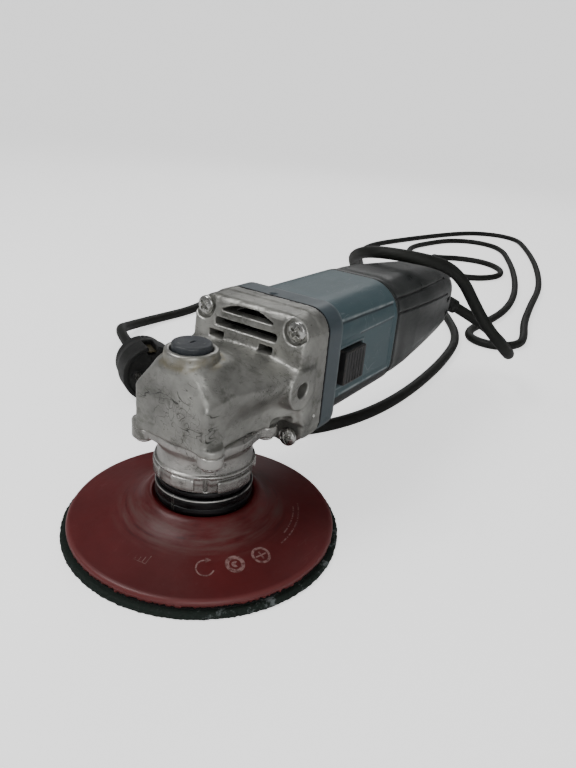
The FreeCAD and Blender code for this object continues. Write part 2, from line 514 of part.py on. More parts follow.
# ---- switch ------------------------------------------------------------------------------------
def switch():
    knob = box(SWITCH_X0, SWITCH_X1, -PANEL_Y - 2.9, -PANEL_Y + 1.9, SWITCH_Z0, SWITCH_Z1)
    ribs = [box(SWITCH_X0 + 2.2 + 2.7 * i, SWITCH_X0 + 3.3 + 2.7 * i, -PANEL_Y - 4, -PANEL_Y - 2.0,
                SWITCH_Z0 - 1, SWITCH_Z1 + 1) for i in range(6)]
    plate = box(SWITCH_X0 + 2.5, SWITCH_X1 + 6, -PANEL_Y + 2.5, -PANEL_Y + 3.4,
                SWITCH_Z0 - 1.4, SWITCH_Z1 + 1.4)
    stem = box(SWITCH_X0 + 3, SWITCH_X1 - 2, -PANEL_Y + 1.8, -PANEL_Y + 2.6,
               SWITCH_Z0 + 3, SWITCH_Z1 - 3)
    save(fused([knob.cut(fused(ribs)), plate, stem]), "switch_knob")
    rail_z = AXIS_Z - 3.0, AXIS_Z + 3.0
    rail = fused([box(88.0, 130.6, -26.1, -25.2, *rail_z), box(129.4, 130.6, -26.1, -16.0, *rail_z),
                  box(129.4, 157.0, -17.2, -16.0, *rail_z), box(155.8, 157.0, -17.2, -8.0, *rail_z)])
    save(rail, "switch_rail")
    body = box(163.5, 189.5, -8.5, 8.5, AXIS_Z - 11, AXIS_Z + 11)
    lever = box(161.8, 163.5, -6.0, 2.0, AXIS_Z - 2.5, AXIS_Z + 2.5)
    save(body.fuse(lever), "switch_unit")
    save(box(192.0, 204.0, 4.0, 13.0, AXIS_Z - 8, AXIS_Z + 8), "noise_capacitor")
    leads = [cyl(1.0, (136.5, 14.5, AXIS_Z + s * 14.0), (192.0, 10.8, AXIS_Z + s * 6.5))
             for s in (-1, 1)]
    save(group(leads), "motor_leads")


# ---- cord entry ---------------------------------------------------------------------------------
def arc_from(root, tangent, tip):
    """Circular arc that starts along tangent at root and ends at tip; also its end direction."""
    chord = tip - root
    unit = Vec(chord).normalize()
    end_dir = unit * (2 * unit.dot(tangent)) - tangent
    half_turn = math.acos(unit.dot(tangent))
    radius = chord.Length / 2 / math.sin(half_turn)
    normal = (unit - tangent * unit.dot(tangent)).normalize()
    centre = root + normal * radius
    mid_dir = ((root - centre) + (tip - centre)).normalize()
    return Part.Arc(root, centre + mid_dir * radius, tip), end_dir


def cord_guard():
    arc, end_dir = arc_from(GUARD_ROOT, X, GUARD_TIP)
    edge = arc.toShape()
    count = 5
    rings = []
    for i in range(count):
        share = i / (count - 1)
        at = edge.valueAt(edge.FirstParameter + share * (edge.LastParameter - edge.FirstParameter))
        way = edge.tangentAt(edge.FirstParameter
                             + share * (edge.LastParameter - edge.FirstParameter))
        radius = GUARD_R0 + (GUARD_R1 - GUARD_R0) * share
        rings.append(Part.Wire(Part.makeCircle(radius, at, way)))
    sleeve = Part.makeLoft(rings, True, False)
    neck = cyl(6.0, (223.9, 0, GUARD_ROOT.z), tuple(GUARD_ROOT))
    collar = cyl(8.2, (221.2, 0, GUARD_ROOT.z), (223.9, 0, GUARD_ROOT.z))
    core = cyl(CORD_D / 2, (215, 0, GUARD_ROOT.z), tuple(GUARD_ROOT))
    save(fused([neck, collar]).cut(core).fuse(sleeve), "cord_guard")
    inner = cyl(CORD_D / 2, (196, 0, GUARD_ROOT.z), tuple(GUARD_ROOT))
    save(inner, "cord_tail")
    clamp = box(205, 213, -10, 10, GUARD_ROOT.z + 0.6, GUARD_ROOT.z + 6.0)
    clamp = clamp.cut(cyl(CORD_D / 2, (200, 0, GUARD_ROOT.z), (215, 0, GUARD_ROOT.z)))
    holes = [cyl(1.5, (209, s * 7.6, 50), (209, s * 7.6, 80)) for s in (-1, 1)]
    save(clamp.cut(fused(holes)), "cord_clamp")
    screws = [screw(2.8, 1.8, 1.5, 9, (209, s * 7.6, GUARD_ROOT.z + 6.0), (0, 0, -1))
              for s in (-1, 1)]
    save(group(screws), "cord_clamp_screws")
    cover_screws = [screw(2.9, 1.9, 1.65, 8, (129, s * 9, 38.0), (0, 0, 1)) for s in (-1, 1)]
    save(group(cover_screws), "rear_cover_screws")


def cord():
    """Straight runs joined by tangent arcs, each as large as its two runs allow."""
    route = [Vec(*p) for p in CORD_ROUTE]
    edges, last = [], route[0]
    length = 0.0
    for before, corner, after in zip(route, route[1:], route[2:]):
        come, go = corner - before, after - corner
        shorter = min(come.Length, go.Length)
        half = come.getAngle(go) / 2
        radius = 0.45 * shorter / math.tan(half)
        back = 0.45 * shorter
        first = corner - Vec(come).normalize() * back
        final = corner + Vec(go).normalize() * back
        inward = (Vec(go).normalize() - Vec(come).normalize()).normalize()
        middle = corner + inward * (radius / math.cos(half) - radius)
        if (first - last).Length > 0.01:
            edges.append(Part.LineSegment(last, first).toShape())
        edges.append(Part.Arc(first, middle, final).toShape())
        last = final
        print("corner (%.0f, %.0f, %.0f) radius %.0f turn %.0f" % (
            corner.x, corner.y, corner.z, radius, math.degrees(2 * half)))
    edges.append(Part.LineSegment(last, route[-1]).toShape())
    path = Part.Wire(edges)
    length = path.Length
    start = Part.Wire(Part.makeCircle(CORD_D / 2, route[0], route[1] - route[0]))
    solid = path.makePipeShell([start], True, False)
    ideal = math.pi * CORD_D ** 2 / 4 * length
    print("cord length %.0f mm, volume ratio %.4f, valid %s" % (
        length, solid.Volume / ideal, solid.isValid()))
    save(solid, "power_cord")


def plug():
    face, way = PLUG_FACE, Vec(PLUG_DIR).normalize()
    profile = [(0, 0), (PLUG_R - 1.2, 0), (PLUG_R, -1.2), (PLUG_R, -14), (PLUG_BACK_R, -26),
               (13.0, -PLUG_DEPTH), (6.6, -PLUG_DEPTH - 3), (4.9, -PLUG_DEPTH - PLUG_NECK),
               (0, -PLUG_DEPTH - PLUG_NECK)]
    points = [face + Z * r + way * h for r, h in profile]
    body = Part.Face(Part.makePolygon(points + points[:1])).revolve(face, way, 360)
    side = Z.cross(way)
    turn = FreeCAD.Placement(Vec(0, 0, 0), FreeCAD.Rotation(side, Z, way, "XYZ"))
    slots, clips = [], []
    for s in (1, -1):
        slot = Part.makeBox(6.4, 4.0, 14, Vec(-3.2, s * (PLUG_R - 1.9) - 2.0, -13))
        clip = Part.makeBox(4.6, 0.8, 12, Vec(-2.3, s * (PLUG_R - 3.5) - 0.4, -12.6))
        for piece, bag in ((slot, slots), (clip, clips)):
            piece.Placement = turn
            piece.translate(face)
            bag.append(piece)
    pins = []
    for s in (-1, 1):
        foot = face + side * (s * PIN_PITCH / 2)
        pins.append(cyl(PIN_R, tuple(foot), tuple(foot + way * PIN_LEN)).fuse(
            cyl(PIN_R - 0.4, tuple(foot - way * 9), tuple(foot))))
    save(group(pins), "plug_pins")
    body = body.cut(fused(slots + pins))
    save(body, "plug_body")
    save(group(clips), "plug_earth_clips")


os.makedirs("parts", exist_ok=True)
save(gear_housing(), "gear_housing")
save(bearing_box(), "bearing_box")
head_fasteners()
bearings()
bevel_gears()
spindle()
pad()
spindle_lock()
save(motor_housing(), "motor_housing")
save(rear_cover(), "rear_cover")
stator()
armature()
brush_gear()
switch()
cord_guard()
cord()
plug()
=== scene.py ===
"""Rotary polisher on a pale floor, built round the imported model. Lengths are in mm until mesh()."""
import bpy
import json
import math
import numpy as np
from mathutils import Matrix, Vector


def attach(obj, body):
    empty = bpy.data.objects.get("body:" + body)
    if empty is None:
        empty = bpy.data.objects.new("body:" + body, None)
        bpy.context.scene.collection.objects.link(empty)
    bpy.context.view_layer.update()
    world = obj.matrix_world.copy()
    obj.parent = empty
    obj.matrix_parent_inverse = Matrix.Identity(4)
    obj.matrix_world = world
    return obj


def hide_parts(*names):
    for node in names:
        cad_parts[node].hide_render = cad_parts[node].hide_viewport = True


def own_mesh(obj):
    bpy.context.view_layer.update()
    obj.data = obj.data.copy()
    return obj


MM = 0.001
AXIS_Z = 68.2                            # motor axis
LOCK_X, LOCK_R = -10.6, 8.2              # spindle-lock button
SCREW_Y, SCREW_Z = 25.0, 24.9            # gear-housing screws about the motor axis
HANDLE_X = 25.6                          # side-handle holes
FOOT = 18.4                              # bearing-box screws about the spindle
SPRING_X, SPRING_R = -9.2, 3.4           # lock spring
rng = np.random.default_rng(7)


# ---- mesh helpers ----
def mesh(name, verts, faces, material, body="machine", smooth=True):
    data = bpy.data.meshes.new(name)
    data.from_pydata((np.asarray(verts, float) * MM).tolist(), [], faces)
    data.validate()
    data.update()
    data.polygons.foreach_set("use_smooth", [smooth] * len(data.polygons))
    obj = bpy.data.objects.new(name, data)
    bpy.context.scene.collection.objects.link(obj)
    data.materials.append(material)
    if body:
        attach(obj, body)
    return obj


def grid_faces(rows, cols):
    """Quads of a rows x cols grid of vertices whose last column joins the first."""
    faces = []
    for i in range(rows - 1):
        for j in range(cols):
            k = (j + 1) % cols
            faces.append((i * cols + j, i * cols + k, (i + 1) * cols + k, (i + 1) * cols + j))
    return faces


def attribute(obj, name, values):
    layer = obj.data.attributes.new(name, "FLOAT", "POINT")
    layer.data.foreach_set("value", np.asarray(values, np.float32))


def lathe(name, profile, material, body="machine", segments=128, wobble=None):
    """Turned piece about the spindle from (radius, height) points."""
    verts = []
    for r, z in profile:
        for j in range(segments):
            a = 2 * math.pi * j / segments
            rr = r + (wobble(a, r, z) if wobble else 0.0)
            verts.append((rr * math.cos(a), rr * math.sin(a), z))
    return mesh(name, verts, grid_faces(len(profile), segments), material, body)


def rounded(profile, radius=0.5, steps=4):
    """Rounds the corners of an open (r, z) polyline."""
    out = [profile[0]]
    for a, b, c in zip(profile, profile[1:], profile[2:]):
        a, b, c = (np.array(p, float) for p in (a, b, c))
        back, ahead = a - b, c - b
        t = min(radius, np.linalg.norm(back) * 0.45, np.linalg.norm(ahead) * 0.45)
        p, q = b + back / np.linalg.norm(back) * t, b + ahead / np.linalg.norm(ahead) * t
        for s in np.linspace(0, 1, steps):
            out.append(tuple(p * (1 - s) ** 2 + b * 2 * s * (1 - s) + q * s * s))
    return out + [profile[-1]]


# ---- distance fields: blended solids with cast or moulded fillets ----
def smin(a, b, k):
    h = np.clip(0.5 + 0.5 * (b - a) / k, 0, 1)
    return b * (1 - h) + a * h - k * h * (1 - h)


def smax(a, b, k):
    return -smin(-a, -b, k)


def rbox(p, centre, half, r):
    q = [np.abs(p[i] - centre[i]) - half[i] + r for i in range(3)]
    outside = np.sqrt(sum(np.maximum(v, 0) ** 2 for v in q))
    return outside + np.minimum(np.maximum(np.maximum(q[0], q[1]), q[2]), 0) - r


def rcyl(p, centre, axis, radius, half, r=0.0):
    """Cylinder along axis 0, 1 or 2 with rounded rims."""
    i, j = [n for n in range(3) if n != axis]
    radial = np.hypot(p[i] - centre[i], p[j] - centre[j]) - radius + r
    along = np.abs(p[axis] - centre[axis]) - half + r
    return (np.hypot(np.maximum(radial, 0), np.maximum(along, 0))
            + np.minimum(np.maximum(radial, along), 0) - r)


def surface(field, low, step):
    """Surface nets: one vertex per cell that the zero level crosses."""
    n = tuple(s - 1 for s in field.shape)
    total, count = np.zeros((3,) + n), np.zeros(n)
    crossings = []
    for axis in range(3):
        lo = [slice(None)] * 3
        hi = [slice(None)] * 3
        lo[axis], hi[axis] = slice(0, -1), slice(1, None)
        a, b = field[tuple(lo)], field[tuple(hi)]
        cut = (a < 0) != (b < 0)
        t = np.where(cut, a / np.where(a == b, 1, a - b), 0)
        crossings.append((cut, a < 0))
        others = [i for i in range(3) if i != axis]
        for u in (0, 1):
            for v in (0, 1):
                s = [slice(None)] * 3
                s[others[0]] = slice(u, u + n[others[0]])
                s[others[1]] = slice(v, v + n[others[1]])
                m = cut[tuple(s)]
                total[axis] += t[tuple(s)] * m
                total[others[0]] += u * m
                total[others[1]] += v * m
                count += m
    active = count > 0
    index = np.full(n, -1)
    index[active] = np.arange(active.sum())
    cells = np.argwhere(active)
    verts = (cells + (total[:, active] / count[active]).T) * step + np.array(low)
    faces = []
    for axis in range(3):
        cut, inside = crossings[axis]
        u, v = [(1, 2), (2, 0), (0, 1)][axis]
        at = np.argwhere(cut)
        ok = (at[:, u] > 0) & (at[:, v] > 0) & (at[:, u] < n[u]) & (at[:, v] < n[v])
        at = at[ok]
        sides = inside[tuple(at.T)]
        quad = []
        for du, dv in ((1, 1), (0, 1), (0, 0), (1, 0)):
            c = at.copy()
            c[:, u] -= du
            c[:, v] -= dv
            quad.append(index[tuple(c.T)])
        quad = np.stack(quad, 1)
        quad[~sides] = quad[~sides][:, ::-1]
        faces.append(quad)
    return verts, np.concatenate(faces).tolist()


def solid(name, low, high, step, shape, material, body="machine"):
    axes = [np.arange(a - 2 * step, b + 2.5 * step, step) for a, b in zip(low, high)]
    p = np.meshgrid(*axes, indexing="ij")
    verts, faces = surface(shape(p), [a[0] for a in axes], step)
    return mesh(name, verts, faces, material, body)


# ---- material helpers ----
class Nodes:
    """Small builder for a procedural material in object coordinates."""

    def __init__(self, name, roughness=0.5, metallic=0.0, color=(0.5, 0.5, 0.5), specular=0.5):
        self.mat = bpy.data.materials.new(name)
        self.mat.use_nodes = True
        self.tree = self.mat.node_tree
        self.shader = self.tree.nodes["Principled BSDF"]
        self.shader.inputs["Base Color"].default_value = (*color, 1)
        self.shader.inputs["Roughness"].default_value = roughness
        self.shader.inputs["Metallic"].default_value = metallic
        self.shader.inputs["Specular IOR Level"].default_value = specular
        self.coords = self.tree.nodes.new("ShaderNodeTexCoord").outputs["Object"]
        self.height = None

    def node(self, kind, inputs=(), **settings):
        n = self.tree.nodes.new("ShaderNode" + kind)
        for key, value in settings.items():
            setattr(n, key, value)
        for key, value in dict(inputs).items():
            if isinstance(value, bpy.types.NodeSocket):
                self.tree.links.new(value, n.inputs[key])
            else:
                n.inputs[key].default_value = value
        return n

    def scaled(self, scale, turn=(0, 0, 0)):
        return self.node("Mapping", {"Vector": self.coords, "Scale": scale,
                                     "Rotation": turn}).outputs[0]

    def noise(self, scale, detail=4.0, rough=0.55, where=None, distortion=0.0):
        return self.node("TexNoise", {"Vector": where or self.coords, "Scale": scale,
                                      "Detail": detail, "Roughness": rough,
                                      "Distortion": distortion}).outputs[0]

    def voronoi(self, scale):
        return self.node("TexVoronoi", {"Vector": self.coords, "Scale": scale},
                         feature="F1").outputs[0]

    def ramp(self, value, low, high, invert=False):
        out = (1.0, 0.0) if invert else (0.0, 1.0)
        return self.node("MapRange", {"Value": value, "From Min": low, "From Max": high,
                                      "To Min": out[0], "To Max": out[1]}, clamp=True).outputs[0]

    def math(self, how, a, b=0.0):
        return self.node("Math", {0: a, 1: b}, operation=how).outputs[0]

    def mix(self, factor, a, b):
        def colour(c):
            return c if isinstance(c, bpy.types.NodeSocket) else (*c, 1)
        return self.node("Mix", {"Factor": factor, 6: colour(a), 7: colour(b)},
                         data_type="RGBA").outputs[2]

    def attr(self, name):
        return self.node("Attribute", attribute_name=name).outputs["Fac"]

    def scratches(self, scale, stretch, turn, width=0.012):
        """Thin lines: the zero crossings of a long stretched noise, broken up by another."""
        line = self.noise(scale, 1.0, 0.4, self.scaled(stretch, turn), 0.05)
        near = self.math("ABSOLUTE", self.math("SUBTRACT", line, 0.5))
        thin = self.ramp(near, 0.0, width, invert=True)
        gate = self.ramp(self.noise(scale * 0.9, 2.0), 0.55, 0.62)
        return self.math("MULTIPLY", thin, gate)

    def edges(self, low, high):
        return self.ramp(self.node("NewGeometry").outputs["Pointiness"], low, high)

    def color(self, socket):
        self.tree.links.new(socket, self.shader.inputs["Base Color"])

    def rough(self, socket, low, high):
        value = self.ramp(socket, 0.0, 1.0)
        self.tree.nodes[-1].inputs["To Min"].default_value = low
        self.tree.nodes[-1].inputs["To Max"].default_value = high
        self.tree.links.new(value, self.shader.inputs["Roughness"])

    def bump(self, socket, distance, strength=1.0):
        settings = {"Height": socket, "Distance": distance, "Strength": strength}
        if self.height:
            settings["Normal"] = self.height
        self.height = self.node("Bump", settings).outputs[0]
        self.tree.links.new(self.height, self.shader.inputs["Normal"])


def plain(name, color, roughness, metallic=0.0, grain=900.0, depth=0.00002, vary=0.25):
    """Fine-grained finish for pieces that need no drawing of their own."""
    m = Nodes(name, roughness, metallic, color)
    cloud = m.noise(grain * 0.12, 5.0)
    darker = tuple(c * (1 - vary) for c in color)
    lighter = tuple(min(1, c * (1 + vary)) for c in color)
    m.color(m.mix(m.ramp(cloud, 0.3, 0.7), darker, lighter))
    m.rough(m.noise(grain * 0.4, 3.0), max(0.02, roughness - 0.1), min(1, roughness + 0.12))
    m.bump(m.noise(grain, 2.0), depth)
    return m.mat


def cast_alloy(name, grime=1.0, tint=(0.35, 0.348, 0.325), gloss=0.24):
    """Worn cast aluminium: cloudy grey, dark dents and scratches, bright rubbed edges, and painted
    shade darkening its hollows.
    """
    m = Nodes(name, 0.42, 0.75, tint)
    cloud = m.noise(38.0, 6.0, 0.62)
    base = m.mix(m.ramp(cloud, 0.34, 0.66), tuple(c * 0.52 for c in tint),
                 tuple(c * 1.25 for c in tint))
    blotch = m.ramp(m.noise(95.0, 5.0, 0.7, distortion=0.6), 0.54, 0.72)
    base = m.mix(m.math("MULTIPLY", blotch, 0.75 * grime), base, (0.085, 0.085, 0.072))
    long = m.scratches(34.0, (1, 11, 7), (0.3, 0.2, 0.7), 0.014)
    short = m.scratches(52.0, (13, 1.6, 6), (0.9, 0.1, -0.5), 0.020)
    fine = m.scratches(230.0, (1, 1, 6), (0.4, 1.0, 0.3), 0.02)
    marks = m.math("MAXIMUM", m.math("MAXIMUM", long, short), m.math("MULTIPLY", fine, 0.6))
    pits = m.ramp(m.voronoi(300.0), 0.0, 0.16, invert=True)
    pits = m.math("MULTIPLY", pits, m.ramp(m.noise(70.0, 3.0), 0.54, 0.6))
    marks = m.math("MINIMUM", m.math("ADD", marks, pits), 1.0)
    base = m.mix(m.math("MULTIPLY", marks, 0.85), base, (0.018, 0.018, 0.016))
    edge = m.math("MULTIPLY", m.edges(0.515, 0.57), m.ramp(m.noise(160.0, 3.0), 0.30, 0.55))
    base = m.mix(edge, base, (0.66, 0.66, 0.63))
    # painted shade: low pointiness darkens every concave spot to near black
    cavity = m.ramp(m.node("NewGeometry").outputs["Pointiness"], 0.40, 0.475, invert=True)
    base = m.mix(m.math("MULTIPLY", cavity, 0.85), base, (0.030, 0.028, 0.022))
    part = m.node("SeparateXYZ", {0: m.coords}).outputs
    ahead = m.math("SUBTRACT", part[0], LOCK_X * MM)
    far = m.math("SQRT", m.math("ADD", m.math("MULTIPLY", ahead, ahead),
                                m.math("MULTIPLY", part[1], part[1])))
    grease = m.math("MULTIPLY", m.ramp(m.math("ABSOLUTE", m.math("SUBTRACT", far, 0.0122)), 0.0006,
                                       0.0022, invert=True),
                    m.ramp(part[2], 0.0815, 0.0835))
    grease = m.math("MULTIPLY", grease, m.ramp(m.noise(130.0, 4.0), 0.40, 0.60))
    base = m.mix(m.math("MULTIPLY", grease, 0.7), base, (0.20, 0.165, 0.085))
    m.color(base)
    wear = m.math("SUBTRACT", m.math("ADD", cloud, m.math("MULTIPLY", marks, 0.4)),
                  m.math("MULTIPLY", edge, 0.5))
    m.rough(wear, gloss, gloss + 0.36)
    m.bump(m.noise(420.0, 4.0, 0.6), 0.00010)
    m.bump(m.math("MULTIPLY", marks, -1.0), 0.00012)
    return m.mat


def moulded(name, color, worn, dark, rough=0.42):
    """Moulded casing plastic: dull, rubbed lighter on its steps and smeared with grey dust; painted
    shade darkens its underside, the switch window and the vent slots.
    """
    m = Nodes(name, rough, 0.0, color, 0.3)
    cloud = m.noise(30.0, 5.0, 0.6)
    base = m.mix(m.ramp(cloud, 0.35, 0.7), color,
                 tuple(c * 0.7 + w * 0.12 for c, w in zip(color, worn)))
    dust = m.ramp(m.noise(75.0, 6.0, 0.7, m.scaled((0.35, 1, 1)), 0.5), 0.50, 0.78)
    base = m.mix(m.math("MULTIPLY", dust, 0.30), base, worn)
    scuffs = m.math("MAXIMUM", m.scratches(60.0, (1, 6, 2), (0.2, 0.4, 0.3), 0.012),
                    m.scratches(140.0, (4, 1, 1), (0.1, 0.8, 0.9), 0.018))
    base = m.mix(m.math("MULTIPLY", scuffs, 0.5), base, worn)
    ridge = m.math("MULTIPLY", m.attr("ridge"), m.ramp(m.noise(190.0, 4.0), 0.25, 0.6))
    base = m.mix(ridge, base, tuple(min(1, w * 1.25) for w in worn))
    # dark seams and grooves; over the switch window and the vent slots this is painted shade
    base = m.mix(m.attr("line"), base, dark)
    # painted shade: the under mask darkens the lower part of the casing
    base = m.mix(m.attr("under"), base, dark)
    m.color(base)
    m.rough(m.math("ADD", m.math("MULTIPLY", cloud, 0.5), m.math("MULTIPLY", dust, 0.6)),
            rough - 0.14, rough + 0.22)
    m.bump(m.noise(2600.0, 2.0), 0.00002)
    m.bump(m.noise(140.0, 4.0), 0.00008)
    return m.mat


# ---- scene, camera and cord ----
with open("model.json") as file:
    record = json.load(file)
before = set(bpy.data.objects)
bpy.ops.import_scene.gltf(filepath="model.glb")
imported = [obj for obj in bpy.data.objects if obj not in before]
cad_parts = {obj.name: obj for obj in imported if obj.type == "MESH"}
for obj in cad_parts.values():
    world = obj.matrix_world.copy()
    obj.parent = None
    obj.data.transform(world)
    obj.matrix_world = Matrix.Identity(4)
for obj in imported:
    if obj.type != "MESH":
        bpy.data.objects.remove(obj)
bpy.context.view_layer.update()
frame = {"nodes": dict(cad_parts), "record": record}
scene = bpy.context.scene

CAM_AZ, CAM_EL, CAM_ROLL = (math.radians(v) for v in (-57.58, 23.27, 5.26))
back = Vector((math.sin(CAM_AZ) * math.cos(CAM_EL), -math.cos(CAM_AZ) * math.cos(CAM_EL),
               math.sin(CAM_EL)))
level = Vector((0, 0, 1)).cross(back).normalized()
upright = back.cross(level)
right = level * math.cos(CAM_ROLL) + upright * math.sin(CAM_ROLL)
over = upright * math.cos(CAM_ROLL) - level * math.sin(CAM_ROLL)
camera = bpy.data.objects.new("camera", bpy.data.cameras.new("camera"))
camera.data.lens = 29.92
camera.data.sensor_width = 36
camera.data.clip_start, camera.data.clip_end = 0.01, 20
turn = Matrix((right, over, back)).transposed().to_4x4()
camera.matrix_world = Matrix.Translation(Vector((-188.8, -159.6, 178.2)) * MM) @ turn
scene.collection.objects.link(camera)
scene.camera = camera

LAY = 3.8
ROUTE = [
    (257, -14, 56), (269.5, -30.2, 46.0), (270, -46, 37), (256, -59, 33), (239, -63, 37),
    (224, -58, 49), (216, -48, 62), (211, -40, 75), (203, -34, 88), (190, -26, 98.5),
    (170, -9, 103.5), (171, 18, 101.5), (193, 40, 92), (232, 60, 78), (284, 80, 52), (335, 106, 22),
    (388, 134, LAY), (450, 160, LAY), (520, 198, LAY), (592, 242, LAY), (668, 266, LAY),
    (765, 252, LAY), (858, 234, LAY), (922, 216, LAY), (956, 196, LAY), (972, 164, LAY),
    (956, 130, LAY), (905, 104, LAY), (803, 62, LAY), (705, 29, LAY), (612, 4, LAY),
    (520, -10, LAY), (448, -23, LAY), (406, -35, LAY), (376, -40, LAY), (353, -26, LAY),
    (355, -1, LAY), (381, 10, LAY), (425, 5, LAY), (480, 5, LAY), (545, 15, LAY), (620, 35, LAY),
    (700, 62, LAY), (770, 90, LAY), (824, 114, LAY), (856, 142, LAY), (858, 177, LAY),
    (828, 204, LAY), (778, 214, LAY), (714, 220, LAY), (658, 198, LAY), (612, 158, LAY),
    (586, 116, LAY), (596, 78, LAY), (638, 60, LAY), (682, 72, LAY), (710, 104, LAY),
    (702, 140, LAY), (666, 157, 6), (622, 148, 15.5), (570, 128, 15.5), (515, 104, LAY),
    (462, 80, LAY), (408, 42, LAY), (350, 8, LAY), (282, -5, LAY), (212, -10, LAY),
    (162, -8, LAY), (122, 2, LAY), (92, 20, LAY), (90, 56, LAY), (122, 86, LAY), (176, 108, LAY),
    (232, 122, LAY), (282, 138, LAY), (316, 160, LAY), (326, 194, LAY), (304, 222, LAY),
    (266, 225, LAY), (228, 216, LAY), (186, 219, LAY), (150, 213, 7), (115.9, 186.6, 18.5),
    (97.1, 150.5, 18.5)]


def cord_material():
    m = Nodes("cord_rubber", 0.58, 0.0, (0.016, 0.017, 0.014), 0.35)
    cloud = m.noise(34.0, 5.0, 0.6)
    base = m.mix(m.ramp(cloud, 0.35, 0.7), (0.005, 0.0055, 0.0045), (0.013, 0.014, 0.011))
    dust = m.ramp(m.noise(260.0, 5.0, 0.7), 0.58, 0.8)
    m.color(m.mix(m.math("MULTIPLY", dust, 0.18), base, (0.06, 0.06, 0.05)))
    m.rough(cloud, 0.42, 0.72)
    m.bump(m.noise(1500.0, 3.0), 0.00003)
    return m.mat


RUBBER = cord_material()
curve = bpy.data.curves.new("cord", "CURVE")
curve.dimensions = "3D"
spline = curve.splines.new("NURBS")
spline.points.add(len(ROUTE) - 1)
for point, at in zip(spline.points, ROUTE):
    point.co = (*(c * MM for c in at), 1)
spline.order_u = 3
spline.use_endpoint_u = True
curve.bevel_depth = 3.75 * MM
curve.bevel_resolution = 5
curve.resolution_u = 8
curve.use_fill_caps = True
curve.materials.append(RUBBER)
cord = bpy.data.objects.new("mains_cord", curve)
scene.collection.objects.link(cord)
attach(cord, "machine")
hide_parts("power_cord")


# ---- gear housing: blended casting ----
def crown(x):
    return np.interp(x, [-25, -23.5, -22.3, -20.5, -17.7, -12, 0, 10, 18, 24, 30],
                     [66, 72, 79, 84, 86.4, 86.6, 84.5, 82.6, 81, 80, 80])


def shoulder(x):
    return np.interp(x, [-25, -23.5, -9.6, 8.8, 30], [67, 70.5, 74.8, 74.3, 76])


def vent_face(z):
    """x of the steep front wall behind the lock button."""
    return np.interp(z, [30, 51, 56, 66, 76, 84, 96, 100],
                     [30.0, 29.0, 26.5, 23.5, 23.2, 23.6, 25.4, 27.5])


